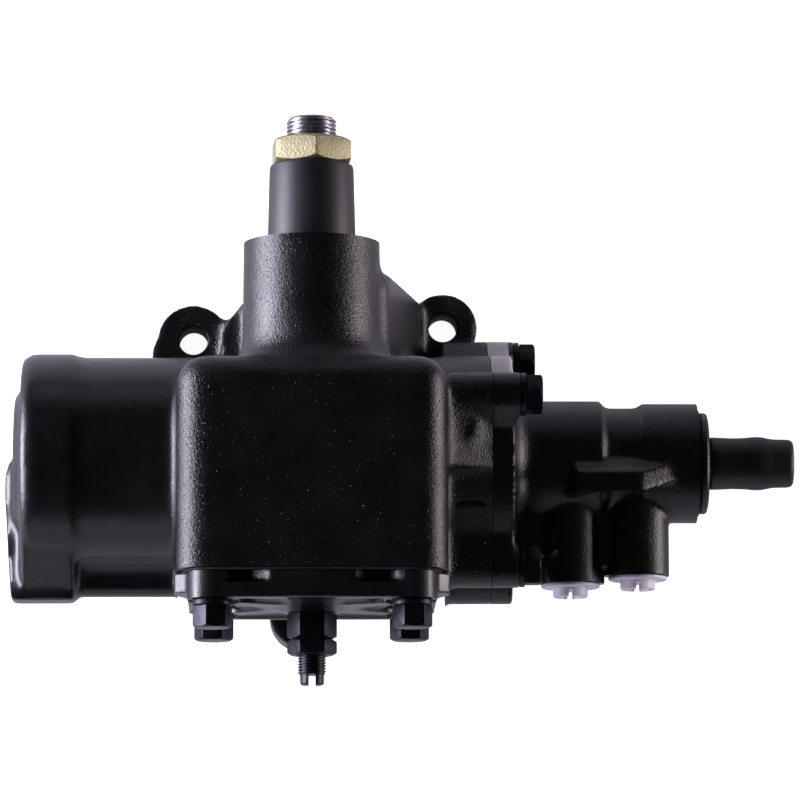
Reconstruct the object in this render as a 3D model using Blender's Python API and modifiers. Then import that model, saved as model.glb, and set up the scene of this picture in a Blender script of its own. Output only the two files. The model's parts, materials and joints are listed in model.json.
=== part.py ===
"""Steering gearbox of the recirculating-ball power type, lying on its mounting pads.

X runs along the worm towards the input shaft, Y along the sector shaft towards the pitman
nut, and Z up from the mounting face. Sizes are in metres. Stations along X are measured
from the sector shaft's axis, and stations along Y from the worm's axis.
"""

import math

import bmesh
import bpy

# Fits between neighbouring pieces
FACE_GAP = 0.0003
SHAFT_GAP = 0.0003
BOLT_GAP = 0.0004

# Ball screw: worm, balls and rack piston
WORM_RADIUS = 0.0138
WORM_LEAD = 0.0114
WORM_LEFT = -0.034
WORM_THREAD_MARGIN = 0.0045
WORM_NECK_RADIUS = 0.0120
BALL_RADIUS = 0.00357
BALL_COUNT = 6
BALL_TURNS_APART = 0.4
GROOVE_CLEARANCE = 0.00090
NUT_GAP = 0.0006
CIRCUIT_LEFT = 0.0015
CIRCUIT_RIGHT = 0.0300
GUIDE_BEND = 0.0054
GUIDE_POCKET_HALF = 0.0117
GUIDE_POCKET_MARGIN = 0.0063
CLAMP_REACH = 0.0100
CLAMP_THICKNESS = 0.0009

GUIDE_COVER = 0.00405
PISTON_CLEARANCE = 0.0007
PISTON_LEFT = -0.070
PISTON_RIGHT = 0.048
PISTON_CHAMFER = 0.0015
RING_GROOVE_LEFT = -0.0650
RING_WIDTH = 0.0040
RING_DEPTH = 0.0032
PISTON_PLUG_RADIUS = 0.0163
PISTON_PLUG_LENGTH = 0.0100

# Rack and sector teeth
TOOTH_MODULE = 0.0060
FULL_CIRCLE_TEETH = 10
SECTOR_TEETH = 3
PRESSURE_ANGLE = math.radians(25)
TOOTH_ADDENDUM = 0.0045
TOOTH_ROOT_CLEARANCE = 0.0010
TOOTH_BACKLASH = 0.0008
SECTOR_HALF_FACE = 0.0230
RACK_END_RELIEF = 0.0050
SECTOR_SWING = math.radians(45)

# Axes
CENTRE_DISTANCE = 0.0570
FLOOR_CLEARANCE = 0.0073

# Gear housing
BARREL_WALL = 0.0065
BARREL_LEFT = -0.1293
BARREL_END_WALL = 0.0065
BARREL_CORNER = 0.0050
END_FLANGE_LENGTH = 0.0233
END_FLANGE_STEP = 0.0015
END_DISC_RADIUS = 0.0330
END_DISC_PROUD = 0.0033
END_FOOT_PROUD = 0.0080
END_FOOT_RADIUS = 0.0135
END_FOOT_DROP = 0.0023
END_FOOT_ROOT_RADIUS = 0.0170
RAIL_RADIUS = 0.0065
RAIL_OFFSET = 0.0058
CHAMBER_CLEARANCE = 0.0013
CHAMBER_FRONT_WALL = 0.0042
CHAMBER_SIDE_MARGIN = 0.0158
CHAMBER_TOP = 0.0360
CHAMBER_EDGE_RADIUS = 0.0115
CHAMBER_INNER_TOP = 0.0270
COVER_STANDOFF = 0.0098
BOSS_LIP = 0.00465
BOSS_WALL = 0.0049
BOSS_FLARE = 0.0080
BOSS_FLARE_LENGTH = 0.0150
RIB_RADIUS = 0.0072
RIB_TIP_RADIUS = 0.0043
RIB_SINK = 0.0022
RIB_TOP = 0.0768
WEB_BACK = 0.0073
WEB_LEFT_TOE = -0.0463
WEB_LEFT_FOOT = -0.0408
WEB_LEFT_KNEE = 0.0440
WEB_RIGHT_FOOT = 0.0514
WEB_RIGHT_PROUD = 0.0054
WEB_RIGHT_SINK = 0.0015
WEB_LEFT_TOP = 0.0710
WEB_RIGHT_TOP = 0.0780
WEB_WALL = 0.0090
POCKET_BOTTOM = 0.0132
POCKET_FLOOR = 0.0440
JOINT_FACE = 0.0800
GEAR_FLANGE_LEFT = 0.0600
VALVE_BOLT_OFFSET = 0.0075
VALVE_BOLT_ANGLES = (64.0, -26.5, 153.0, 224.0)
LUG_RADIUS = 0.0098
FLANGE_FOOT_RADIUS = 0.0100
FLANGE_STEP = 0.0008
FLANGE_DISC = 0.0382
SIDE_PAD_RADIUS = 0.0055
SIDE_PAD_Y = 0.0080
SIDE_PAD_PROUD = 0.0025
SIDE_PAD_ENDS = (0.0666, 0.0717)

# Mounting ears: centre from the sector axis along X and the worm axis along Y, radius, and X of its root
EAR_THICKNESS = 0.0220
EAR_HOLE_RADIUS = 0.0070
EARS = {
    "a": (-0.0523, 0.0607, 0.0185, -0.0366),
    "b": (0.0605, 0.0671, 0.0175, 0.0424),
    "c": (-0.0035, -0.0625, 0.0144, -0.0025),
}
EAR_ROOT_RADIUS = 0.0210

# Sector shaft and what it runs in
SECTOR_SHAFT_RADIUS = 0.0175
SECTOR_SHAFT_LEFT = -0.0620
SHOULDER_PROUD = 0.00045
SPLINE_LEAD_IN = 0.0015
SPLINE_LENGTH = 0.0397
SPLINE_RADIUS = 0.0159
SPLINE_TIP_RADIUS = 0.0152
SPLINE_DEPTH = 0.0007
SPLINE_COUNT = 24
SPLINE_SINK = 0.0003
THREAD_RADIUS = 0.0111
THREAD_UNDERCUT = 0.0008
THREAD_LENGTH = 0.0212
THREAD_CHAMFER = 0.0016
BEARING_WALL = 0.0044
BEARING_START = 0.0310
BEARING_LENGTH = 0.0400
SEAL_POCKET_STEP = 0.0018
SEAL_LENGTH = 0.0095
SEAL_RING_LENGTH = 0.0014
SLEEVE_LEAD = 0.00185
SLEEVE_WALL = 0.0029
SLEEVE_TAPER = 0.0009
NUT_HEIGHT = 0.0116
NUT_FLATS = 0.0333
NUT_CHAMFER = 0.0016
NUT_TURN = math.radians(23.7)

# Sector cover and lash adjuster
GASKET_THICKNESS = 0.0007
COVER_THICKNESS = 0.0117
COVER_BOLT_SIDE = 0.0075
COVER_BOLT_DEPTH = 0.0280
COVER_CORNER_RADIUS = 0.0120
COVER_MID_MARGIN = 0.0165
COVER_HUB_RADIUS = 0.0290
COVER_HUB_TOP_RADIUS = 0.0110
COVER_HUB_HEIGHT = 0.0032
COVER_SOCKET_WALL = 0.0052
COVER_SOCKET_TOP = -0.0300
COVER_FLOOR = 0.0042
BUSH_WALL = 0.0034
ADJUSTER_RADIUS = 0.0062
ADJUSTER_HEAD_RADIUS = 0.0090
ADJUSTER_HEAD_HEIGHT = 0.0030
ADJUSTER_HEAD_DEPTH = 0.0040
ADJUSTER_SHIM = 0.0012
SEAL_NUT_FLATS = 0.0190
SEAL_NUT_HEIGHT = 0.0110
JAM_NUT_HEIGHT = 0.0070
ADJUSTER_THREAD_PROUD = 0.0083
ADJUSTER_TIP_RADIUS = 0.00525
ADJUSTER_TIP_LENGTH = 0.0047
SLOT_WIDTH = 0.0030
SLOT_DEPTH = 0.0045

# Bolts and washers
BOLT_RADIUS = 0.0055
BOLT_FLATS = 0.0160
BOLT_HEAD_HEIGHT = 0.0070
WASHER_RADIUS = 0.0095
WASHER_THICKNESS = 0.0024
COVER_BOLT_REACH = 0.0180
VALVE_BOLT_REACH = 0.0150
BOLT_HOLE_MARGIN = 0.0020

# Valve housing and the pieces inside it
VALVE_FLANGE_THICKNESS = 0.0097
VALVE_LUG_THICKNESS = 0.0117
VALVE_SLEEVE_WALL = 0.0069
VALVE_SLEEVE_LENGTH = 0.0500
VALVE_SLEEVE_GROOVE = 0.0010
VALVE_SLEEVE_GROOVES = 2
VALVE_WALL = 0.0077
NECK_WALL = 0.0040
NOSE_WALL = 0.0062
NECK_SLOPE = 0.0030
NECK_LENGTH = 0.0156
NOSE_LENGTH = 0.0247
FLANGE_FILLET = 0.0080
O_RING_CENTRE = 0.0023
O_RING_RADIUS = 0.0013
WORM_HEAD_RADIUS = 0.0230
WORM_HEAD_THICKNESS = 0.0030
THRUST_THICKNESS = 0.0030
RETAINER_THICKNESS = 0.0042
SPOOL_RADIUS = 0.0128
INPUT_NECK_RADIUS = 0.0105
INPUT_SPLINE_RADIUS = 0.0096
INPUT_SPLINE_DEPTH = 0.0006
INPUT_SPLINE_COUNT = 16
INPUT_NECK_PROUD = 0.0057
INPUT_SPLINE_LENGTH = 0.0331
TORSION_BAR_RADIUS = 0.0036
TORSION_BAR_END_RADIUS = 0.0048
TORSION_BAR_LEFT = 0.0560
TORSION_BAR_INSET = 0.0050
TORSION_BAR_GRIP = 0.0100
NEEDLE_WALL = 0.0032
NEEDLE_LENGTH = 0.0140
NEEDLE_TO_SEAL = 0.0058
INPUT_SEAL_WALL = 0.0068
INPUT_SEAL_LENGTH = 0.0052
RETAINING_RING_THICKNESS = 0.0008
RETAINING_RING_INSET = 0.0026
END_PLUG_THICKNESS = 0.0036
END_PLUG_INSET = 0.0037
CAP_WALL = 0.0020
CAP_END_WALL = 0.0048
CAP_WAIST = 0.0004
CAP_BULGE = 0.0002
CAP_TIP_STEP = 0.0010
CAP_WAIST_AT = 0.0106
CAP_BULGE_AT = 0.0205
CAP_STEP_AT = 0.0288

# Oil ports on the valve housing, pressure first
PORT_STATIONS_FROM_JOINT = (0.0358, 0.0660)
PORT_ENDS = (-0.0550, -0.0516)
PORT_NAMES = ("pressure", "return")
PORT_OFFSET = 0.0050
PORT_BOSS_RADIUS = 0.0140
PORT_BORE_RADIUS = 0.0082
PORT_DEPTH = 0.0180
PORT_PASSAGE_RADIUS = 0.0035
PORT_WEB_HALF = 0.0070
PORT_WEB_RISE = 0.0070
PORT_CAP_RADIUS = 0.0133
PORT_CAP_DISC = 0.0027
PORT_CAP_STUB_LENGTH = 0.0052
PORT_CAP_PLUG_LENGTH = 0.0080
PORT_CAP_SLOT = 0.0022
PORT_SEAT_HEIGHT = 0.0045
PORT_SEAT_BORE = 0.0025

# Rib block on the front of the valve housing: foot and face, each from low to high X, Y;
# X from the joint, Y from the worm axis
RIB_BLOCK_FOOT = (0.0360, -0.0160, 0.0847, -0.0005)
RIB_BLOCK_FACE = (0.0397, -0.0145, 0.0687, -0.0050)
RIB_BLOCK_PROUD = 0.0062

# Sizes that follow from those above
PITCH_RADIUS = TOOTH_MODULE * FULL_CIRCLE_TEETH / 2
TIP_RADIUS = PITCH_RADIUS + TOOTH_ADDENDUM
ROOT_RADIUS = PITCH_RADIUS - TOOTH_ADDENDUM - TOOTH_ROOT_CLEARANCE
RACK_PITCH_LINE = CENTRE_DISTANCE - PITCH_RADIUS
BALL_CIRCLE = WORM_RADIUS + NUT_GAP / 2
NUT_BORE = WORM_RADIUS + NUT_GAP
GROOVE_RADIUS = BALL_RADIUS + GROOVE_CLEARANCE
GUIDE_RADIUS = BALL_RADIUS + 2 * FACE_GAP
GUIDE_FLOOR = NUT_BORE + BALL_RADIUS + 2 * GUIDE_RADIUS
GUIDE_CROWN = GUIDE_FLOOR + GUIDE_RADIUS + 2 * FACE_GAP
CLAMP_INNER = GUIDE_RADIUS + SHAFT_GAP
CLAMP_OUTER = CLAMP_INNER + CLAMP_THICKNESS
PISTON_RADIUS = GUIDE_CROWN + CLAMP_OUTER + GUIDE_COVER
BORE_RADIUS = PISTON_RADIUS + PISTON_CLEARANCE
BARREL_RADIUS = BORE_RADIUS + BARREL_WALL
WORM_HEIGHT = BARREL_RADIUS + FLOOR_CLEARANCE
SECTOR_HEIGHT = WORM_HEIGHT + CENTRE_DISTANCE
RACK_TRAVEL = PITCH_RADIUS * SECTOR_SWING
CHAMBER_BORE = TIP_RADIUS + CHAMBER_CLEARANCE
CHAMBER_FRONT = SECTOR_HEIGHT + CHAMBER_BORE + CHAMBER_FRONT_WALL
COVER_BOLT_X = CHAMBER_BORE + COVER_BOLT_SIDE
CHAMBER_HALF_WIDTH = COVER_BOLT_X + CHAMBER_SIDE_MARGIN
COVER_JOINT = -(BARREL_RADIUS + COVER_STANDOFF)
RAIL_Y = -(BARREL_RADIUS + RAIL_OFFSET)
BEARING_BORE = SECTOR_SHAFT_RADIUS + SHAFT_GAP
BEARING_OUTER = BEARING_BORE + BEARING_WALL
BOSS_BORE = BEARING_OUTER + SHAFT_GAP
SEAL_POCKET = BOSS_BORE + SEAL_POCKET_STEP
BOSS_RADIUS = SEAL_POCKET + BOSS_WALL
SEAL_START = BEARING_START + BEARING_LENGTH + FACE_GAP + BARREL_WALL / 2
SEAL_END = SEAL_START + SEAL_LENGTH
SEAL_RING_END = SEAL_END + FACE_GAP + SEAL_RING_LENGTH
BOSS_TOP = SEAL_RING_END + BOSS_LIP
SLEEVE_START = SEAL_RING_END + SLEEVE_LEAD
SECTOR_SHAFT_SHOULDER = SEAL_END + SHOULDER_PROUD
SPLINE_START = SECTOR_SHAFT_SHOULDER + SPLINE_LEAD_IN
NUT_SEAT = SPLINE_START + SPLINE_LENGTH
THREAD_TIP = NUT_SEAT + THREAD_LENGTH
VALVE_BOLT_CIRCLE = BARREL_RADIUS + VALVE_BOLT_OFFSET
GASKET_BOTTOM = COVER_JOINT - FACE_GAP - GASKET_THICKNESS
COVER_INNER = GASKET_BOTTOM - FACE_GAP
COVER_OUTER = COVER_INNER - COVER_THICKNESS
COVER_HUB = COVER_OUTER - COVER_HUB_HEIGHT
SOCKET_FLOOR = COVER_OUTER + COVER_FLOOR
BUSH_OUTER = BEARING_BORE + BUSH_WALL
SOCKET_BORE = BUSH_OUTER + SHAFT_GAP
SOCKET_RADIUS = SOCKET_BORE + COVER_SOCKET_WALL
VALVE_FACE = JOINT_FACE + FACE_GAP
VALVE_LUG_FACE = VALVE_FACE + VALVE_LUG_THICKNESS
PORT_STATIONS = tuple(VALVE_FACE + station for station in PORT_STATIONS_FROM_JOINT)
VALVE_SLEEVE_RADIUS = SPOOL_RADIUS + SHAFT_GAP + VALVE_SLEEVE_WALL
VALVE_BORE = VALVE_SLEEVE_RADIUS + SHAFT_GAP
VALVE_BODY_RADIUS = VALVE_BORE + VALVE_WALL
NECK_RADIUS = VALVE_BORE + NECK_WALL
NOSE_RADIUS = VALVE_BORE + NOSE_WALL
RETAINER_START = VALVE_FACE + FACE_GAP
INNER_THRUST_START = RETAINER_START + RETAINER_THICKNESS + FACE_GAP
WORM_HEAD_START = INNER_THRUST_START + THRUST_THICKNESS + FACE_GAP
OUTER_THRUST_START = WORM_HEAD_START + WORM_HEAD_THICKNESS + FACE_GAP
WORM_POCKET_FLOOR = OUTER_THRUST_START + THRUST_THICKNESS + FACE_GAP
WORM_POCKET_RADIUS = WORM_HEAD_RADIUS + 2 * SHAFT_GAP
VALVE_SLEEVE_START = WORM_POCKET_FLOOR + 4 * FACE_GAP
VALVE_SLEEVE_END = VALVE_SLEEVE_START + VALVE_SLEEVE_LENGTH
NEEDLE_START = VALVE_SLEEVE_END + 6 * FACE_GAP
NEEDLE_BORE = INPUT_NECK_RADIUS + SHAFT_GAP
NEEDLE_OUTER = NEEDLE_BORE + NEEDLE_WALL
INPUT_SEAL_START = NEEDLE_START + NEEDLE_LENGTH + NEEDLE_TO_SEAL
NOSE_END = INPUT_SEAL_START + INPUT_SEAL_LENGTH + FACE_GAP
NOSE_START = NOSE_END - NOSE_LENGTH
NECK_START = NOSE_START - NECK_LENGTH
VALVE_BODY_END = NECK_START - NECK_SLOPE
INPUT_SPLINE_START = NOSE_END + INPUT_NECK_PROUD
INPUT_END = INPUT_SPLINE_START + INPUT_SPLINE_LENGTH
INPUT_SEAL_OUTER = NEEDLE_BORE + INPUT_SEAL_WALL
RETAINING_RING_START = NOSE_END + FACE_GAP
END_PLUG_START = RETAINING_RING_START + RETAINING_RING_THICKNESS + FACE_GAP
CAP_START = INPUT_SPLINE_START + FACE_GAP
CAP_INNER = INPUT_SPLINE_RADIUS + SHAFT_GAP
CAP_RADIUS = CAP_INNER + CAP_WALL
CAP_END = INPUT_END + FACE_GAP + CAP_END_WALL
TORSION_BORE = TORSION_BAR_END_RADIUS + SHAFT_GAP
ADJUSTER_TIP = (COVER_HUB - 2 * FACE_GAP - SEAL_NUT_HEIGHT - JAM_NUT_HEIGHT
                - ADJUSTER_THREAD_PROUD - ADJUSTER_TIP_LENGTH)
END_FOOT_LEFT = BARREL_LEFT - END_FOOT_PROUD

# The model stands centred on its frame's origin
CENTRE_X = (END_FOOT_LEFT + CAP_END) / 2
CENTRE_Y = (ADJUSTER_TIP + THREAD_TIP) / 2

# Facets round a full turn
BARREL_STEPS = 32
ROUND_STEPS = 24
SMALL_STEPS = 12
BALL_STEPS = 10
FLANGE_STEPS = 44
FLANGE_PHASE = 0.25
HELIX_STEPS = 12
FLANK_STEPS = 4
HUB_STEPS = 16
CORNER_STEPS = 4

WELD = 0.00001

for stale in list(bpy.data.objects):
    bpy.data.objects.remove(stale)

gearbox = bpy.data.collections.new("steering_gearbox")
cutters = bpy.data.collections.new("cutters")
bpy.context.scene.collection.children.link(gearbox)
bpy.context.scene.collection.children.link(cutters)

base = bpy.data.objects.new("mounting_face", None)
base.location = (-CENTRE_X, -CENTRE_Y, 0)
gearbox.objects.link(base)


def axis_empty(name, x, y, z):
    empty = bpy.data.objects.new(name, None)
    empty.parent = base
    empty.location = (x, y, z)
    gearbox.objects.link(empty)
    return empty


worm_axis = axis_empty("worm_axis", 0, 0, WORM_HEIGHT)
sector_axis = axis_empty("sector_axis", 0, 0, SECTOR_HEIGHT)

TURN_TO = {
    "X": (0, math.pi / 2, 0),
    "Y": (-math.pi / 2, 0, 0),
    "Z": (0, 0, 0),
}


def principled(name, colour, roughness, metallic):
    finish = bpy.data.materials.new(name)
    finish.use_nodes = True
    shader = finish.node_tree.nodes["Principled BSDF"]
    shader.inputs["Base Color"].default_value = (*colour, 1)
    shader.inputs["Roughness"].default_value = roughness
    shader.inputs["Metallic"].default_value = metallic
    return finish


black_paint = principled("gloss_black_paint", (0.012, 0.011, 0.014), 0.22, 0.0)
black_bolt = principled("blackened_steel", (0.020, 0.021, 0.026), 0.35, 0.8)
bare_steel = principled("ground_steel", (0.55, 0.55, 0.56), 0.30, 1.0)
zinc = principled("yellow_zinc", (0.72, 0.60, 0.32), 0.32, 1.0)
sleeve_plastic = principled("satin_black_plastic", (0.016, 0.016, 0.017), 0.50, 0.0)
vinyl = principled("soft_black_vinyl", (0.018, 0.018, 0.020), 0.60, 0.0)
white_plastic = principled("translucent_white_plastic", (0.78, 0.77, 0.82), 0.45, 0.0)
bronze = principled("bearing_bronze", (0.50, 0.33, 0.14), 0.35, 1.0)
rubber = principled("seal_rubber", (0.015, 0.015, 0.015), 0.70, 0.0)
fibre = principled("gasket_fibre", (0.10, 0.09, 0.08), 0.90, 0.0)


def add_solid(name, mesh, parent, location, axis, finish):
    """Put a mesh in the model, or among the cutters when it has no finish."""
    solid = bpy.data.objects.new(name, mesh)
    solid.parent = parent
    solid.location = location
    solid.rotation_euler = TURN_TO[axis]
    if finish is None:
        cutters.objects.link(solid)
        solid.hide_render = True
        solid.display_type = "WIRE"
    else:
        gearbox.objects.link(solid)
        solid.data.materials.append(finish)
    return solid


def turned(name, outer, axis="X", parent=worm_axis, location=(0, 0, 0), inner=(), steps=ROUND_STEPS,
           finish=None):
    """Turn a profile of (station, radius) points, low station first, about the axis.

    An inner profile makes a bore through the piece.
    """
    profile = [(radius, station) for station, radius in reversed(outer)]
    if inner:
        profile += [(radius, station) for station, radius in inner]
    else:
        profile = [(0, outer[-1][0]), *profile, (0, outer[0][0])]
    edges = [(index, index + 1) for index in range(len(profile) - 1)]
    if inner:
        edges.append((len(profile) - 1, 0))
    mesh = bpy.data.meshes.new(name)
    mesh.from_pydata([(radius, 0, station) for radius, station in profile], edges, [])
    solid = add_solid(name, mesh, parent, location, axis, finish)
    screw = solid.modifiers.new("turn", "SCREW")
    screw.angle = 2 * math.pi
    screw.steps = steps
    screw.render_steps = steps
    screw.use_merge_vertices = True
    screw.merge_threshold = WELD
    return solid


def ring(name, low, high, inner, outer, axis, parent, finish, steps=ROUND_STEPS):
    return turned(name, [(low, outer), (high, outer)], axis=axis, parent=parent,
                  inner=[(low, inner), (high, inner)], steps=steps, finish=finish)


def mesh_of(shape):
    """Turn a curve object into a welded mesh and take the curve away."""
    graph = bpy.context.evaluated_depsgraph_get()
    mesh = bpy.data.meshes.new_from_object(shape.evaluated_get(graph))
    bpy.data.objects.remove(shape)
    work = bmesh.new()
    work.from_mesh(mesh)
    bmesh.ops.remove_doubles(work, verts=work.verts, dist=WELD)
    bmesh.ops.recalc_face_normals(work, faces=work.faces)
    work.to_mesh(mesh)
    work.free()
    return mesh


def plate(name, outline, low, high, axis="Z", parent=base, location=(0, 0, 0), finish=None):
    """Extrude an outline between two stations of an axis.

    The outline's points are (X, Y) for axis Z, (X, Z) for axis Y and (Y, Z) for axis X.
    """
    turn = {"Z": lambda u, v: (u, v), "Y": lambda u, v: (u, -v), "X": lambda u, v: (-v, u)}[axis]
    curve = bpy.data.curves.new(name, "CURVE")
    curve.dimensions = "2D"
    curve.fill_mode = "BOTH"
    curve.extrude = (high - low) / 2
    spline = curve.splines.new("POLY")
    spline.points.add(len(outline) - 1)
    for point, (u, v) in zip(spline.points, outline):
        point.co = (*turn(u, v), 0, 1)
    spline.use_cyclic_u = True
    shape = bpy.data.objects.new(name, curve)
    gearbox.objects.link(shape)
    mesh = mesh_of(shape)
    for corner in mesh.vertices:
        corner.co.z += (high + low) / 2
    return add_solid(name, mesh, parent, location, axis, finish)


def block(name, low, high, parent=base, edges=None, finish=None):
    """A box between two corners; edges names those that are rounded, by a test on their middle."""
    middle = [(a + b) / 2 for a, b in zip(low, high)]
    size = [b - a for a, b in zip(low, high)]
    work = bmesh.new()
    bmesh.ops.create_cube(work, size=1)
    bmesh.ops.scale(work, vec=size, verts=work.verts)
    if edges:
        radius, test = edges
        rounded = [edge for edge in work.edges if test((edge.verts[0].co + edge.verts[1].co) / 2)]
        bmesh.ops.bevel(work, geom=rounded, offset=radius, segments=CORNER_STEPS, profile=0.5, affect="EDGES",
                        clamp_overlap=True)
    mesh = bpy.data.meshes.new(name)
    work.to_mesh(mesh)
    work.free()
    return add_solid(name, mesh, parent, middle, "Z", finish)


def tube(name, points, radius, parent, resolution, finish=None):
    """A round bar along points, with closed ends."""
    curve = bpy.data.curves.new(name, "CURVE")
    curve.dimensions = "3D"
    curve.bevel_depth = radius
    curve.bevel_resolution = resolution
    curve.use_fill_caps = True
    spline = curve.splines.new("POLY")
    spline.points.add(len(points) - 1)
    for point, place in zip(spline.points, points):
        point.co = (*place, 1)
    shape = bpy.data.objects.new(name, curve)
    gearbox.objects.link(shape)
    return add_solid(name, mesh_of(shape), parent, (0, 0, 0), "Z", finish)


def boolean(target, other, operation):
    step = target.modifiers.new(other.name, "BOOLEAN")
    step.operation = operation
    step.solver = "EXACT"
    step.object = other
    weld = target.modifiers.new(other.name + "_weld", "WELD")
    weld.merge_threshold = WELD


def join(target, *pieces):
    for piece in pieces:
        boolean(target, piece, "UNION")


def cut(target, *pieces):
    for piece in pieces:
        boolean(target, piece, "DIFFERENCE")


def hull_outline(*circles, steps=ROUND_STEPS):
    """Points round a band stretched about circles, each given as (u, v, radius)."""
    points = []
    for u, v, radius in circles:
        for index in range(steps):
            angle = 2 * math.pi * index / steps
            points.append((u + radius * math.cos(angle), v + radius * math.sin(angle)))
    points.sort()

    def half(ordered):
        chain = []
        for point in ordered:
            while len(chain) > 1:
                (ax, ay), (bx, by) = chain[-2], chain[-1]
                if (bx - ax) * (point[1] - ay) - (by - ay) * (point[0] - ax) > WELD * WELD:
                    break
                chain.pop()
            chain.append(point)
        return chain[:-1]

    return half(points) + half(points[::-1])


def hexagon(flats, turn=0.0):
    corner = flats / math.sqrt(3)
    return [(corner * math.cos(turn + math.pi * index / 3), corner * math.sin(turn + math.pi * index / 3))
            for index in range(6)]


def flower(radius, depth, count):
    """Outline of a serrated shaft: crests at the radius, valleys at depth below it."""
    points = []
    for index in range(2 * count):
        reach = radius if index % 2 == 0 else radius - depth
        angle = math.pi * index / count
        points.append((reach * math.cos(angle), reach * math.sin(angle)))
    return points


def valve_bolt_place(angle_degrees):
    """Y and Z of a flange bolt, from the worm axis."""
    angle = math.radians(angle_degrees)
    return VALVE_BOLT_CIRCLE * math.cos(angle), VALVE_BOLT_CIRCLE * math.sin(angle)


def flange_outline():
    """The joint flange seen along the worm: a disc with a lug for each bolt and a foot on the oil rail."""
    lugs = [(math.radians(angle), VALVE_BOLT_CIRCLE, LUG_RADIUS) for angle in VALVE_BOLT_ANGLES]
    lugs.append((math.pi, -RAIL_Y, FLANGE_FOOT_RADIUS))
    points = []
    for index in range(FLANGE_STEPS):
        angle = 2 * math.pi * (index + FLANGE_PHASE) / FLANGE_STEPS
        reach = BARREL_RADIUS + FLANGE_STEP
        for middle, distance, radius in lugs:
            off = abs(math.remainder(angle - middle, 2 * math.pi))
            normal = math.acos((FLANGE_DISC - radius) / distance)
            corner = math.atan2(radius * math.sin(normal), distance + radius * math.cos(normal))
            if off <= corner:
                side = distance * math.sin(off)
                reach = max(reach, distance * math.cos(off) + math.sqrt(radius ** 2 - side ** 2))
            elif off < normal:
                reach = max(reach, FLANGE_DISC / math.cos(normal - off))
        points.append((reach * math.cos(angle), reach * math.sin(angle)))
    return points


def cover_bolt_places():
    """X and Z of each cover bolt, from the sector axis."""
    return [(side * COVER_BOLT_X, depth * COVER_BOLT_DEPTH) for depth in (1, -1) for side in (-1, 1)]


def helix(low, high, radius):
    """Points along the ball track between two stations of the worm."""
    count = round((high - low) / WORM_LEAD * HELIX_STEPS)
    points = []
    for index in range(count + 1):
        station = low + (high - low) * index / count
        angle = 2 * math.pi * station / WORM_LEAD
        points.append((station, radius * math.cos(angle), radius * math.sin(angle)))
    return points


def involute(angle):
    return math.tan(angle) - angle


def sector_outline():
    """The toothed sector seen along its axis, teeth towards the worm (-Z), with a round hub."""
    base_radius = PITCH_RADIUS * math.cos(PRESSURE_ANGLE)
    half_pitch_angle = (math.pi * TOOTH_MODULE - TOOTH_BACKLASH) / (4 * PITCH_RADIUS)
    tooth_angle = 2 * math.pi / FULL_CIRCLE_TEETH
    radii = [ROOT_RADIUS, base_radius]
    radii += [base_radius + (TIP_RADIUS - base_radius) * step / FLANK_STEPS
              for step in range(1, FLANK_STEPS + 1)]
    flank = []
    for radius in radii:
        pressure = math.acos(min(1, base_radius / radius))
        half = half_pitch_angle + involute(PRESSURE_ANGLE) - involute(pressure)
        flank.append((radius, half))
    points = []
    for tooth in range(SECTOR_TEETH):
        middle = -math.pi / 2 + (tooth - (SECTOR_TEETH - 1) / 2) * tooth_angle
        points += [(radius, middle - half) for radius, half in flank]
        points += [(radius, middle + half) for radius, half in reversed(flank)]
    edge = points[-1][1]
    sweep = 2 * math.pi - (edge - points[0][1])
    for index in range(1, HUB_STEPS):
        points.append((ROOT_RADIUS, edge + sweep * index / HUB_STEPS))
    return [(radius * math.cos(angle), radius * math.sin(angle)) for radius, angle in points]


def rack_cut_outline():
    """What is cut off the piston to leave the rack teeth, seen along Y, from the worm axis."""
    pitch = math.pi * TOOTH_MODULE
    slope = math.tan(PRESSURE_ANGLE)
    top = RACK_PITCH_LINE + TOOTH_ADDENDUM
    root = RACK_PITCH_LINE - TOOTH_ADDENDUM - TOOTH_ROOT_CLEARANCE
    half_gap = (pitch + TOOTH_BACKLASH) / 4
    gap_top = half_gap + (top - RACK_PITCH_LINE) * slope
    gap_root = half_gap - (RACK_PITCH_LINE - root) * slope
    outer = (SECTOR_TEETH / 2 + 0.5) * pitch + RACK_END_RELIEF
    above = PISTON_RADIUS + WORM_RADIUS
    points = [(-outer, above), (-outer, top)]
    for gap in range(SECTOR_TEETH):
        middle = (gap - (SECTOR_TEETH - 1) / 2) * pitch
        points += [(middle - gap_top, top), (middle - gap_root, root)]
        points += [(middle + gap_root, root), (middle + gap_top, top)]
    points += [(outer, top), (outer, above)]
    return points


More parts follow.
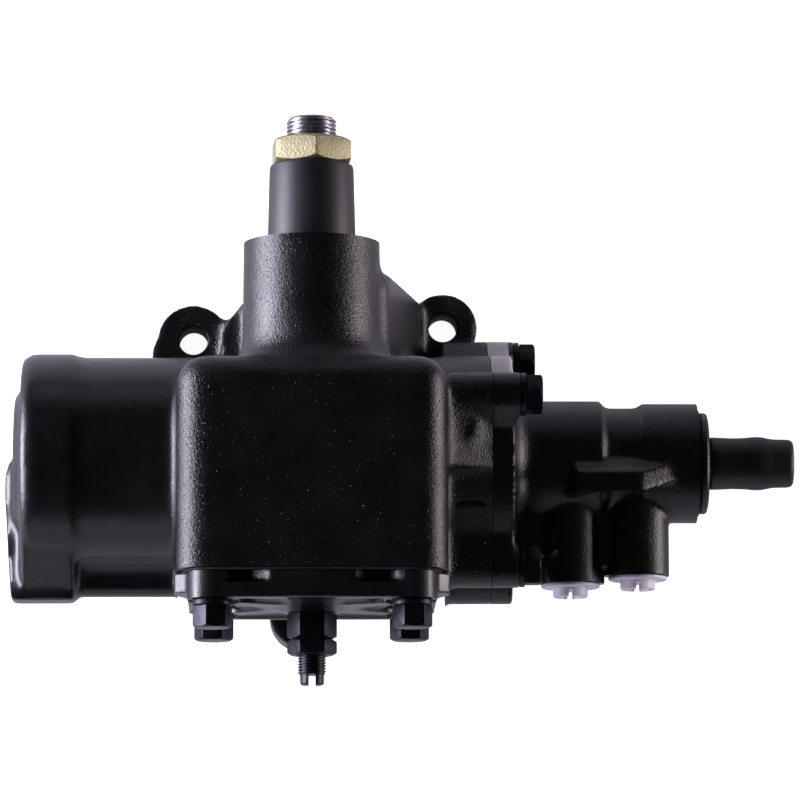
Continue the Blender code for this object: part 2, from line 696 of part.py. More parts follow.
def make_gear_housing():
    end = BARREL_LEFT + END_FLANGE_LENGTH
    flange_radius = BARREL_RADIUS + END_FLANGE_STEP
    corner = [(BARREL_LEFT + BARREL_CORNER * (1 - math.sin(angle)),
               flange_radius - BARREL_CORNER * (1 - math.cos(angle)))
              for angle in (math.pi / 2, math.pi / 3, math.pi / 6, 0)]
    body = turned("gear_housing", [*corner, (end, flange_radius), (end + END_FLANGE_STEP, BARREL_RADIUS),
                                   (GEAR_FLANGE_LEFT + BARREL_CORNER, BARREL_RADIUS)],
                  steps=BARREL_STEPS, finish=black_paint)
    disc = [(BARREL_LEFT - END_DISC_PROUD, END_DISC_RADIUS - END_DISC_PROUD), (BARREL_LEFT, END_DISC_RADIUS),
            (BARREL_LEFT + BARREL_CORNER, END_DISC_RADIUS)]
    join(body, turned("end_disc", disc, steps=BARREL_STEPS))
    foot_y = -(BARREL_RADIUS + END_FOOT_DROP)
    foot = hull_outline((foot_y, 0, END_FOOT_RADIUS), (-END_FOOT_RADIUS, 0, END_FOOT_ROOT_RADIUS))
    join(body, plate("end_foot", foot, END_FOOT_LEFT, end, axis="X", parent=worm_axis))
    join(body, turned("oil_rail", [(BARREL_LEFT + BARREL_CORNER, RAIL_RADIUS),
                                   (GEAR_FLANGE_LEFT + BARREL_CORNER, RAIL_RADIUS)],
                      location=(0, RAIL_Y, 0), steps=SMALL_STEPS))
    near_front = CHAMBER_FRONT - WORM_HEIGHT
    join(body, block("chamber", (-CHAMBER_HALF_WIDTH, COVER_JOINT, WORM_HEIGHT),
                     (CHAMBER_HALF_WIDTH, CHAMBER_TOP, CHAMBER_FRONT),
                     edges=(CHAMBER_EDGE_RADIUS,
                            lambda place: (place.z > near_front / 2 - WELD and place.y > -WELD)
                            or (abs(place.x) > CHAMBER_HALF_WIDTH - WELD and place.y > BORE_RADIUS))))
    flare = [(CHAMBER_TOP - BARREL_WALL, BOSS_RADIUS + BOSS_FLARE)]
    flare += [(CHAMBER_TOP + BOSS_FLARE_LENGTH * (1 - math.cos(angle)),
               BOSS_RADIUS + BOSS_FLARE * (1 - math.sin(angle)))
              for angle in (0.0, math.pi / 6, math.pi / 3, math.pi / 2)]
    join(body, turned("boss", [*flare, (BOSS_TOP, BOSS_RADIUS)], axis="Y", parent=sector_axis,
                      steps=BARREL_STEPS))
    make_webs(body)
    make_ears(body)
    make_gear_flange(body)
    cut_gear_housing(body)
    return body


def make_webs(body):
    """Slanting webs from the boss down to the two upper ears, with a pocket behind each."""
    left = [(WEB_LEFT_TOE, WEB_BACK), (0, WEB_BACK), (0, SECTOR_HEIGHT), (-BOSS_RADIUS, SECTOR_HEIGHT),
            (-BOSS_RADIUS, WEB_LEFT_KNEE), (WEB_LEFT_FOOT, EAR_THICKNESS)]
    rib_side = BOSS_RADIUS + WEB_RIGHT_PROUD
    top = SECTOR_HEIGHT + RAIL_RADIUS
    right = [(-WEB_WALL / 2, WEB_BACK), (WEB_RIGHT_FOOT, WEB_BACK), (WEB_RIGHT_FOOT, EAR_THICKNESS),
             (rib_side, SECTOR_HEIGHT - RIB_RADIUS), (BOSS_RADIUS - WEB_RIGHT_SINK, top), (-WEB_WALL / 2, top)]
    join(body, plate("left_web", left, 0.0, WEB_LEFT_TOP, axis="Y"))
    join(body, plate("right_web", right, 0.0, WEB_RIGHT_TOP, axis="Y"))
    rib = [(0.0, RIB_RADIUS), (RIB_TOP - RIB_RADIUS, RIB_RADIUS), (RIB_TOP, RIB_TIP_RADIUS)]
    join(body, turned("boss_rib", rib, axis="Y", parent=sector_axis, location=(BOSS_RADIUS - RIB_SINK, 0, 0),
                      steps=SMALL_STEPS))
    high = SECTOR_HEIGHT - BOSS_RADIUS - WEB_WALL / 2
    inner = WEB_WALL - BOSS_RADIUS
    left_pocket = [(WEB_LEFT_FOOT + WEB_WALL, POCKET_BOTTOM), (-WEB_WALL / 2, POCKET_BOTTOM),
                   (-WEB_WALL / 2, high), (inner, high), (inner, WEB_LEFT_KNEE)]
    right_pocket = [(WEB_WALL, POCKET_BOTTOM), (WEB_RIGHT_FOOT - WEB_WALL, POCKET_BOTTOM),
                    (rib_side - WEB_WALL, high), (WEB_WALL, high)]
    cut(body, plate("left_pocket", left_pocket, POCKET_FLOOR, BOSS_TOP, axis="Y"))
    cut(body, plate("right_pocket", right_pocket, POCKET_FLOOR, BOSS_TOP, axis="Y"))


def make_ears(body):
    for letter, (x, y, radius, root_x) in EARS.items():
        side = math.copysign(1, y)
        root = (root_x, side * (BARREL_RADIUS - EAR_ROOT_RADIUS), EAR_ROOT_RADIUS)
        join(body, plate("ear_" + letter, hull_outline((x, y, radius), root), 0.0, EAR_THICKNESS))


def make_gear_flange(body):
    join(body, plate("gear_flange", flange_outline(), GEAR_FLANGE_LEFT, JOINT_FACE, axis="X", parent=worm_axis))
    pad = hull_outline(*((x, SIDE_PAD_Y, SIDE_PAD_RADIUS) for x in SIDE_PAD_ENDS), steps=SMALL_STEPS)
    join(body, plate("side_pad", pad, WORM_HEIGHT, WORM_HEIGHT + BARREL_RADIUS + SIDE_PAD_PROUD))


def cut_gear_housing(body):
    bore = [(BARREL_LEFT + BARREL_END_WALL, BORE_RADIUS), (JOINT_FACE + BARREL_WALL, BORE_RADIUS)]
    cut(body, turned("piston_bore", bore, steps=BARREL_STEPS))
    cut(body, turned("chamber_bore", [(COVER_JOINT - BARREL_WALL, CHAMBER_BORE),
                                      (CHAMBER_INNER_TOP, CHAMBER_BORE)],
                     axis="Y", parent=sector_axis, steps=BARREL_STEPS))
    cut(body, turned("boss_bore", [(0.0, BOSS_BORE), (SEAL_START - FACE_GAP, BOSS_BORE),
                                   (SEAL_START - FACE_GAP, SEAL_POCKET),
                                   (BOSS_TOP + BARREL_WALL, SEAL_POCKET)],
                     axis="Y", parent=sector_axis))
    hole = BOLT_RADIUS + BOLT_GAP
    for index, (x, z) in enumerate(cover_bolt_places()):
        cut(body, turned("cover_thread_" + str(index + 1),
                         [(COVER_JOINT - BARREL_WALL, hole),
                          (COVER_JOINT + COVER_BOLT_REACH + BOLT_HOLE_MARGIN, hole)],
                         axis="Y", parent=sector_axis, location=(x, 0, z), steps=SMALL_STEPS))
    for index, angle in enumerate(VALVE_BOLT_ANGLES):
        cut(body, turned("valve_thread_" + str(index + 1),
                         [(JOINT_FACE - VALVE_BOLT_REACH - BOLT_HOLE_MARGIN, hole),
                          (JOINT_FACE + BARREL_WALL, hole)],
                         location=(0, *valve_bolt_place(angle)), steps=SMALL_STEPS))
    for letter, (x, y, *_) in EARS.items():
        cut(body, turned("ear_hole_" + letter, [(-BARREL_WALL, EAR_HOLE_RADIUS),
                                                (EAR_THICKNESS + BARREL_WALL, EAR_HOLE_RADIUS)],
                         axis="Z", parent=base, location=(x, y, 0)))


def make_valve_housing():
    flange_end = VALVE_FACE + VALVE_FLANGE_THICKNESS
    inside = VALVE_FACE + VALVE_FLANGE_THICKNESS / 2
    fillet = [(flange_end - FACE_GAP + FLANGE_FILLET * (1 - math.cos(angle)),
               VALVE_BODY_RADIUS + FLANGE_FILLET * (1 - math.sin(angle)))
              for angle in (0, math.pi / 6, math.pi / 3, math.pi / 2)]
    outer = [(inside, fillet[0][1]), *fillet,
             (VALVE_BODY_END, VALVE_BODY_RADIUS), (NECK_START, NECK_RADIUS),
             (NOSE_START - (NOSE_RADIUS - NECK_RADIUS), NECK_RADIUS), (NOSE_START, NOSE_RADIUS),
             (NOSE_END, NOSE_RADIUS)]
    bore = [(VALVE_FACE - BARREL_WALL, WORM_POCKET_RADIUS), (WORM_POCKET_FLOOR, WORM_POCKET_RADIUS),
            (WORM_POCKET_FLOOR, VALVE_BORE), (NEEDLE_START - FACE_GAP, VALVE_BORE),
            (NEEDLE_START - FACE_GAP, NEEDLE_OUTER + SHAFT_GAP),
            (INPUT_SEAL_START - FACE_GAP, NEEDLE_OUTER + SHAFT_GAP),
            (INPUT_SEAL_START - FACE_GAP, INPUT_SEAL_OUTER + SHAFT_GAP),
            (NOSE_END + BARREL_WALL, INPUT_SEAL_OUTER + SHAFT_GAP)]
    body = plate("valve_housing", flange_outline(), VALVE_FACE, flange_end, axis="X", parent=worm_axis,
                 finish=black_paint)
    seal_radius = BORE_RADIUS + O_RING_CENTRE
    reach = O_RING_RADIUS + FACE_GAP
    groove = (VALVE_FACE - BARREL_WALL, VALVE_FACE + 2 * O_RING_RADIUS + FACE_GAP)
    cut(body, turned("seal_groove", [(station, seal_radius + reach) for station in groove],
                     inner=[(station, seal_radius - reach) for station in groove], steps=BARREL_STEPS))
    join(body, turned("valve_body", outer, steps=BARREL_STEPS))
    for index, angle in enumerate(VALVE_BOLT_ANGLES):
        join(body, turned("valve_lug_pad_" + str(index + 1),
                          [(inside, WASHER_RADIUS), (VALVE_LUG_FACE, WASHER_RADIUS)],
                          location=(0, *valve_bolt_place(angle)), steps=SMALL_STEPS))
    for station, end, name in zip(PORT_STATIONS, PORT_ENDS, PORT_NAMES):
        join(body, turned(name + "_boss", [(end, PORT_BOSS_RADIUS), (0, PORT_BOSS_RADIUS)], axis="Y",
                          location=(station, 0, PORT_OFFSET)))
    web_low = min(PORT_ENDS) + PORT_WEB_RISE
    join(body, block("port_web", (PORT_STATIONS[0], web_low, WORM_HEIGHT + PORT_OFFSET - PORT_WEB_HALF),
                     (PORT_STATIONS[1], 0, WORM_HEIGHT + PORT_OFFSET + PORT_WEB_HALF)))
    join(body, make_rib_block())
    cut(body, turned("valve_bore", bore))
    for index, angle in enumerate(VALVE_BOLT_ANGLES):
        cut(body, turned("valve_bolt_hole_" + str(index + 1),
                         [(VALVE_FACE - BARREL_WALL, BOLT_RADIUS + BOLT_GAP),
                          (VALVE_LUG_FACE + BARREL_WALL, BOLT_RADIUS + BOLT_GAP)],
                         location=(0, *valve_bolt_place(angle)), steps=SMALL_STEPS))
    for station, end, name in zip(PORT_STATIONS, PORT_ENDS, PORT_NAMES):
        cut(body, turned(name + "_bore",
                         [(end - BARREL_WALL, PORT_BORE_RADIUS), (end + PORT_DEPTH, PORT_BORE_RADIUS),
                          (end + PORT_DEPTH, PORT_PASSAGE_RADIUS),
                          (BARREL_WALL - VALVE_BORE, PORT_PASSAGE_RADIUS)],
                         axis="Y", location=(station, 0, PORT_OFFSET), steps=SMALL_STEPS))
    return body


def make_rib_block():
    """Raised block on the housing's front, with sloping sides."""
    work = bmesh.new()
    bmesh.ops.create_cube(work, size=1)
    for corner in work.verts:
        low_x, low_y, high_x, high_y = RIB_BLOCK_FACE if corner.co.z > 0 else RIB_BLOCK_FOOT
        corner.co.x = VALVE_FACE + (high_x if corner.co.x > 0 else low_x)
        corner.co.y = high_y if corner.co.y > 0 else low_y
        corner.co.z = VALVE_BODY_RADIUS + RIB_BLOCK_PROUD if corner.co.z > 0 else NECK_RADIUS / 2
    mesh = bpy.data.meshes.new("rib_block")
    work.to_mesh(mesh)
    work.free()
    return add_solid("rib_block", mesh, worm_axis, (0, 0, 0), "Z", None)


def cover_plan(margin=0.0):
    """The cover's outline seen along the sector shaft, as X and Z from the sector axis."""
    corners = [(x, z, COVER_CORNER_RADIUS - margin) for x, z in cover_bolt_places()]
    sides = [(side * (COVER_BOLT_X + COVER_MID_MARGIN - COVER_CORNER_RADIUS), 0, COVER_CORNER_RADIUS - margin)
             for side in (-1, 1)]
    return hull_outline(*corners, *sides, steps=SMALL_STEPS)


def make_cover():
    body = plate("sector_cover", cover_plan(), COVER_OUTER, COVER_INNER, axis="Y", parent=sector_axis,
                 finish=black_paint)
    join(body, turned("cover_hub", [(COVER_HUB, COVER_HUB_TOP_RADIUS), (COVER_OUTER, COVER_HUB_RADIUS),
                                    (COVER_OUTER + COVER_FLOOR / 2, COVER_HUB_RADIUS)],
                      axis="Y", parent=sector_axis))
    join(body, turned("cover_socket", [(COVER_OUTER + COVER_FLOOR / 2, SOCKET_RADIUS),
                                       (COVER_SOCKET_TOP, SOCKET_RADIUS)], axis="Y", parent=sector_axis))
    cut(body, turned("socket_bore",
                     [(SOCKET_FLOOR, SOCKET_BORE), (COVER_SOCKET_TOP + BARREL_WALL, SOCKET_BORE)],
                     axis="Y", parent=sector_axis))
    cut(body, turned("adjuster_hole", [(COVER_HUB - BARREL_WALL, ADJUSTER_RADIUS + SHAFT_GAP),
                                       (SOCKET_FLOOR + BARREL_WALL, ADJUSTER_RADIUS + SHAFT_GAP)],
                     axis="Y", parent=sector_axis, steps=SMALL_STEPS))
    for index, (x, z) in enumerate(cover_bolt_places()):
        cut(body, turned("cover_bolt_hole_" + str(index + 1),
                         [(COVER_OUTER - BARREL_WALL, BOLT_RADIUS + BOLT_GAP),
                          (COVER_INNER + BARREL_WALL, BOLT_RADIUS + BOLT_GAP)],
                         axis="Y", parent=sector_axis, location=(x, 0, z), steps=SMALL_STEPS))
    gasket = plate("cover_gasket", cover_plan(margin=FACE_GAP), GASKET_BOTTOM, COVER_JOINT - FACE_GAP, axis="Y",
                   parent=sector_axis, finish=fibre)
    cut(gasket, turned("gasket_opening", [(COVER_OUTER, CHAMBER_BORE), (COVER_SOCKET_TOP, CHAMBER_BORE)],
                       axis="Y", parent=sector_axis, steps=BARREL_STEPS))
    for index, (x, z) in enumerate(cover_bolt_places()):
        cut(gasket, turned("gasket_hole_" + str(index + 1),
                           [(COVER_OUTER, BOLT_RADIUS + BOLT_GAP), (COVER_SOCKET_TOP, BOLT_RADIUS + BOLT_GAP)],
                           axis="Y", parent=sector_axis, location=(x, 0, z), steps=SMALL_STEPS))
    ring("cover_bush", SOCKET_FLOOR + FACE_GAP, COVER_SOCKET_TOP, BEARING_BORE, BUSH_OUTER, "Y", sector_axis,
         bronze)


def make_bolt(name, axis, parent, place, seat, away, reach):
    """Hex bolt and its washer; away is the way the head points along the axis."""
    def span(near, far):
        return sorted((seat + away * near, seat + away * far))

    under_head = FACE_GAP + WASHER_THICKNESS + FACE_GAP
    low, high = span(under_head, under_head + BOLT_HEAD_HEIGHT)
    head = plate(name, hexagon(BOLT_FLATS, math.pi / 6), low, high, axis=axis, parent=parent,
                 location=place, finish=black_bolt)
    shank_low, shank_high = span(under_head + BOLT_HEAD_HEIGHT / 2, -reach)
    join(head, turned(name + "_shank", [(shank_low, BOLT_RADIUS), (shank_high, BOLT_RADIUS)], axis=axis,
                      parent=parent, location=place, steps=SMALL_STEPS))
    low, high = span(FACE_GAP, FACE_GAP + WASHER_THICKNESS)
    turned(name.replace("bolt", "washer"), [(low, WASHER_RADIUS), (high, WASHER_RADIUS)], axis=axis,
           parent=parent, location=place,
           inner=[(low, BOLT_RADIUS + BOLT_GAP), (high, BOLT_RADIUS + BOLT_GAP)],
           steps=SMALL_STEPS, finish=black_bolt)


def make_bolts():
    for index, (x, z) in enumerate(cover_bolt_places()):
        reach = COVER_BOLT_REACH + (COVER_JOINT - COVER_OUTER)
        make_bolt("cover_bolt_" + str(index + 1), "Y", sector_axis, (x, 0, z), COVER_OUTER, -1, reach)
    for index, angle in enumerate(VALVE_BOLT_ANGLES):
        reach = VALVE_BOLT_REACH + (VALVE_LUG_FACE - JOINT_FACE)
        make_bolt("valve_bolt_" + str(index + 1), "X", worm_axis, (0, *valve_bolt_place(angle)),
                  VALVE_LUG_FACE, 1, reach)


def make_adjuster():
    head_low = SECTOR_SHAFT_LEFT + ADJUSTER_HEAD_DEPTH
    thread_end = ADJUSTER_TIP + ADJUSTER_TIP_LENGTH
    screw = turned("adjuster_screw",
                   [(ADJUSTER_TIP, ADJUSTER_TIP_RADIUS), (thread_end, ADJUSTER_TIP_RADIUS),
                    (thread_end, ADJUSTER_RADIUS), (head_low, ADJUSTER_RADIUS),
                    (head_low, ADJUSTER_HEAD_RADIUS),
                    (head_low + ADJUSTER_HEAD_HEIGHT, ADJUSTER_HEAD_RADIUS)],
                   axis="Y", parent=sector_axis, steps=SMALL_STEPS, finish=black_bolt)
    half = SLOT_WIDTH / 2
    cut(screw, block("screwdriver_slot", (-half, ADJUSTER_TIP - SLOT_DEPTH, SECTOR_HEIGHT - BOLT_FLATS),
                     (half, ADJUSTER_TIP + SLOT_DEPTH, SECTOR_HEIGHT + BOLT_FLATS)))
    shim_top = head_low - FACE_GAP
    ring("adjuster_shim", shim_top - ADJUSTER_SHIM, shim_top, ADJUSTER_RADIUS + SHAFT_GAP, ADJUSTER_HEAD_RADIUS,
         "Y", sector_axis, bare_steel, steps=SMALL_STEPS)
    seat = COVER_HUB - FACE_GAP
    for name, height in (("adjuster_seal_nut", SEAL_NUT_HEIGHT), ("adjuster_jam_nut", JAM_NUT_HEIGHT)):
        nut = plate(name, hexagon(SEAL_NUT_FLATS, math.pi / 6), seat - height, seat, axis="Y",
                    parent=sector_axis, finish=black_bolt)
        cut(nut, turned(name + "_thread", [(seat - height - BARREL_WALL, ADJUSTER_RADIUS + SHAFT_GAP),
                                           (seat + BARREL_WALL, ADJUSTER_RADIUS + SHAFT_GAP)],
                        axis="Y", parent=sector_axis, steps=SMALL_STEPS))
        seat -= height + FACE_GAP


def make_sector_shaft():
    neck = NUT_SEAT - 2 * THREAD_UNDERCUT
    outer = [(SECTOR_SHAFT_LEFT, SECTOR_SHAFT_RADIUS), (SECTOR_SHAFT_SHOULDER, SECTOR_SHAFT_RADIUS),
             (SPLINE_START, SPLINE_RADIUS - SPLINE_DEPTH), (neck, SPLINE_TIP_RADIUS - SPLINE_DEPTH),
             (neck, THREAD_RADIUS - THREAD_UNDERCUT), (NUT_SEAT, THREAD_RADIUS - THREAD_UNDERCUT),
             (NUT_SEAT, THREAD_RADIUS), (THREAD_TIP - THREAD_CHAMFER, THREAD_RADIUS),
             (THREAD_TIP, THREAD_RADIUS - THREAD_CHAMFER)]
    shaft = turned("sector_shaft", outer, axis="Y", parent=sector_axis, finish=bare_steel)
    join(shaft, plate("sector_gear", sector_outline(), -SECTOR_HALF_FACE, SECTOR_HALF_FACE, axis="Y",
                      parent=sector_axis))
    crests = flower(SPLINE_RADIUS, SPLINE_DEPTH + SPLINE_SINK, SPLINE_COUNT)
    serrations = plate("sector_splines", crests, SPLINE_START, neck - THREAD_UNDERCUT, axis="Y",
                       parent=sector_axis)
    taper = SPLINE_TIP_RADIUS / SPLINE_RADIUS
    for corner in serrations.data.vertices:
        if corner.co.z > (SPLINE_START + neck) / 2:
            corner.co.x *= taper
            corner.co.y *= taper
    join(shaft, serrations)
    pocket_end = SECTOR_SHAFT_LEFT + ADJUSTER_HEAD_DEPTH + ADJUSTER_HEAD_HEIGHT + FACE_GAP
    cut(shaft, turned("adjuster_pocket", [(SECTOR_SHAFT_LEFT - BARREL_WALL, ADJUSTER_HEAD_RADIUS + SHAFT_GAP),
                                          (pocket_end, ADJUSTER_HEAD_RADIUS + SHAFT_GAP)],
                      axis="Y", parent=sector_axis))


def make_sector_fittings():
    ring("sector_bearing", BEARING_START, BEARING_START + BEARING_LENGTH, BEARING_BORE, BEARING_OUTER, "Y",
         sector_axis, bare_steel)
    ring("sector_seal", SEAL_START, SEAL_END, BEARING_BORE, SEAL_POCKET - SHAFT_GAP, "Y", sector_axis, rubber)
    ring("sector_seal_ring", SEAL_END + FACE_GAP, SEAL_RING_END, BEARING_BORE + BEARING_WALL / 2,
         SEAL_POCKET - SHAFT_GAP, "Y", sector_axis, bare_steel)
    sleeve_end = NUT_SEAT - FACE_GAP
    inner = SPLINE_RADIUS + SHAFT_GAP
    outer = inner + SLEEVE_WALL
    turned("spline_sleeve",
           [(SLEEVE_START, outer + SLEEVE_TAPER / 2), (sleeve_end - SLEEVE_TAPER * 2, outer - SLEEVE_TAPER / 2),
            (sleeve_end, outer - SLEEVE_TAPER * 2.5)],
           axis="Y", parent=sector_axis, inner=[(SLEEVE_START, inner), (sleeve_end, inner)],
           finish=sleeve_plastic)
    nut = plate("pitman_nut", hexagon(NUT_FLATS, NUT_TURN), NUT_SEAT, NUT_SEAT + NUT_HEIGHT, axis="Y",
                parent=sector_axis, finish=zinc)
    corner = NUT_FLATS / math.sqrt(3)
    rim = corner - NUT_CHAMFER * 2
    boolean(nut, turned("nut_chamfers", [(NUT_SEAT - FACE_GAP, rim), (NUT_SEAT + NUT_CHAMFER, corner),
                                         (NUT_SEAT + NUT_HEIGHT - NUT_CHAMFER, corner),
                                         (NUT_SEAT + NUT_HEIGHT + FACE_GAP, rim)],
                        axis="Y", parent=sector_axis), "INTERSECT")
    cut(nut, turned("nut_thread", [(NUT_SEAT - BARREL_WALL, THREAD_RADIUS + SHAFT_GAP),
                                   (NUT_SEAT + NUT_HEIGHT + BARREL_WALL, THREAD_RADIUS + SHAFT_GAP)],
                    axis="Y", parent=sector_axis))


def make_rack_piston():
    groove_right = RING_GROOVE_LEFT + RING_WIDTH
    groove_radius = PISTON_RADIUS - RING_DEPTH
    outer = [(PISTON_LEFT, PISTON_RADIUS - PISTON_CHAMFER), (PISTON_LEFT + PISTON_CHAMFER, PISTON_RADIUS),
             (RING_GROOVE_LEFT, PISTON_RADIUS), (RING_GROOVE_LEFT, groove_radius),
             (groove_right, groove_radius), (groove_right, PISTON_RADIUS),
             (PISTON_RIGHT - PISTON_CHAMFER, PISTON_RADIUS),
             (PISTON_RIGHT, PISTON_RADIUS - PISTON_CHAMFER)]
    plug_bore = PISTON_PLUG_RADIUS + SHAFT_GAP
    plug_end = PISTON_LEFT + FACE_GAP + PISTON_PLUG_LENGTH
    inner = [(PISTON_LEFT, plug_bore), (plug_end + FACE_GAP, plug_bore), (plug_end + FACE_GAP, NUT_BORE),
             (PISTON_RIGHT, NUT_BORE)]
    body = turned("rack_piston", outer, inner=inner, steps=BARREL_STEPS, finish=bare_steel)
    cut(body, plate("rack_gaps", rack_cut_outline(), -BORE_RADIUS, BORE_RADIUS, axis="Y", parent=worm_axis))
    cut(body, tube("nut_track", helix(CIRCUIT_LEFT, CIRCUIT_RIGHT, BALL_CIRCLE), GROOVE_RADIUS, worm_axis, 2))
    cut(body, block("guide_pocket",
                    (CIRCUIT_LEFT - GUIDE_POCKET_MARGIN, -GUIDE_POCKET_HALF, WORM_HEIGHT - BORE_RADIUS),
                    (CIRCUIT_RIGHT + GUIDE_POCKET_MARGIN, GUIDE_POCKET_HALF, WORM_HEIGHT - GUIDE_FLOOR)))
    for index, station in enumerate((CIRCUIT_LEFT, CIRCUIT_RIGHT)):
        cut(body, turned("guide_hole_" + str(index + 1),
                         [(WORM_HEIGHT - GUIDE_FLOOR - BARREL_WALL, CLAMP_INNER),
                          (WORM_HEIGHT - WORM_RADIUS / 2, CLAMP_INNER)],
                         axis="Z", parent=base, location=(station, 0, 0), steps=SMALL_STEPS))
    ring("piston_ring", RING_GROOVE_LEFT + FACE_GAP, groove_right - FACE_GAP, groove_radius + FACE_GAP,
         BORE_RADIUS - FACE_GAP, "X", worm_axis, bronze, steps=BARREL_STEPS)
    turned("piston_end_plug", [(PISTON_LEFT + FACE_GAP, PISTON_PLUG_RADIUS), (plug_end, PISTON_PLUG_RADIUS)],
           finish=bare_steel)
    make_ball_return()


def make_ball_return():
    leg_end = NUT_BORE + BALL_RADIUS
    points = [(CIRCUIT_LEFT, 0, -leg_end)]
    for station, side in ((CIRCUIT_LEFT, 1), (CIRCUIT_RIGHT, -1)):
        corner = [(station + side * GUIDE_BEND * (1 - math.cos(angle)), 0,
                   -GUIDE_CROWN + GUIDE_BEND * (1 - math.sin(angle)))
                  for angle in (0, math.pi / 6, math.pi / 3, math.pi / 2)]
        points += corner if side == 1 else corner[::-1]
    points.append((CIRCUIT_RIGHT, 0, -leg_end))
    tube("ball_return_guide", points, GUIDE_RADIUS, worm_axis, 2, finish=bare_steel)
    crown = GUIDE_CROWN + CLAMP_INNER
    crest = GUIDE_CROWN + CLAMP_OUTER
    foot = GUIDE_FLOOR + FACE_GAP
    sole = foot + CLAMP_THICKNESS
    strap = [(-CLAMP_REACH, -foot), (-CLAMP_REACH, -sole), (-CLAMP_OUTER, -sole), (-CLAMP_OUTER, -crest),
             (CLAMP_OUTER, -crest), (CLAMP_OUTER, -sole), (CLAMP_REACH, -sole), (CLAMP_REACH, -foot),
             (CLAMP_INNER, -foot), (CLAMP_INNER, -crown), (-CLAMP_INNER, -crown), (-CLAMP_INNER, -foot)]
    middle = (CIRCUIT_LEFT + CIRCUIT_RIGHT) / 2
    plate("guide_clamp", strap, middle - GUIDE_RADIUS, middle + GUIDE_RADIUS, axis="X", parent=worm_axis,
          finish=bare_steel)


def make_balls():
    start = CIRCUIT_LEFT + WORM_LEAD / 4
    for index in range(BALL_COUNT):
        station = start + index * BALL_TURNS_APART * WORM_LEAD
        angle = 2 * math.pi * station / WORM_LEAD
        work = bmesh.new()
        bmesh.ops.create_uvsphere(work, u_segments=BALL_STEPS, v_segments=BALL_STEPS // 2, radius=BALL_RADIUS)
        mesh = bpy.data.meshes.new("ball_" + str(index + 1))
        work.to_mesh(mesh)
        work.free()
        place = (station, BALL_CIRCLE * math.cos(angle), BALL_CIRCLE * math.sin(angle))
        add_solid("ball_" + str(index + 1), mesh, worm_axis, place, "Z", bare_steel)


def make_worm():
    track_left = CIRCUIT_LEFT - RACK_TRAVEL - WORM_THREAD_MARGIN
    track_right = CIRCUIT_RIGHT + RACK_TRAVEL + WORM_THREAD_MARGIN
    thread_end = track_right + WORM_THREAD_MARGIN
    head_end = WORM_HEAD_START + WORM_HEAD_THICKNESS
    stub = WORM_HEAD_START - FACE_GAP
    outer = [(WORM_LEFT, WORM_RADIUS), (thread_end, WORM_RADIUS),
             (thread_end + WORM_THREAD_MARGIN / 2, WORM_NECK_RADIUS), (stub, WORM_NECK_RADIUS),
             (WORM_HEAD_START, WORM_HEAD_RADIUS), (head_end, WORM_HEAD_RADIUS), (head_end, WORM_NECK_RADIUS),
             (VALVE_SLEEVE_START - FACE_GAP, WORM_NECK_RADIUS)]
    body = turned("worm_shaft", outer, finish=bare_steel)
    cut(body, tube("worm_track", helix(track_left, track_right, BALL_CIRCLE), GROOVE_RADIUS, worm_axis, 2))
    cut(body, turned("worm_socket", [(TORSION_BAR_LEFT - FACE_GAP, TORSION_BORE),
                                     (VALVE_SLEEVE_START + BARREL_WALL, TORSION_BORE)], steps=SMALL_STEPS))
    for side, low in (("inner", INNER_THRUST_START), ("outer", OUTER_THRUST_START)):
        ring("thrust_bearing_" + side, low, low + THRUST_THICKNESS, WORM_NECK_RADIUS + SHAFT_GAP,
             WORM_HEAD_RADIUS, "X", worm_axis, bare_steel)
    ring("bearing_retainer", RETAINER_START, RETAINER_START + RETAINER_THICKNESS, WORM_NECK_RADIUS + SHAFT_GAP,
         WORM_HEAD_RADIUS + SHAFT_GAP, "X", worm_axis, bare_steel)


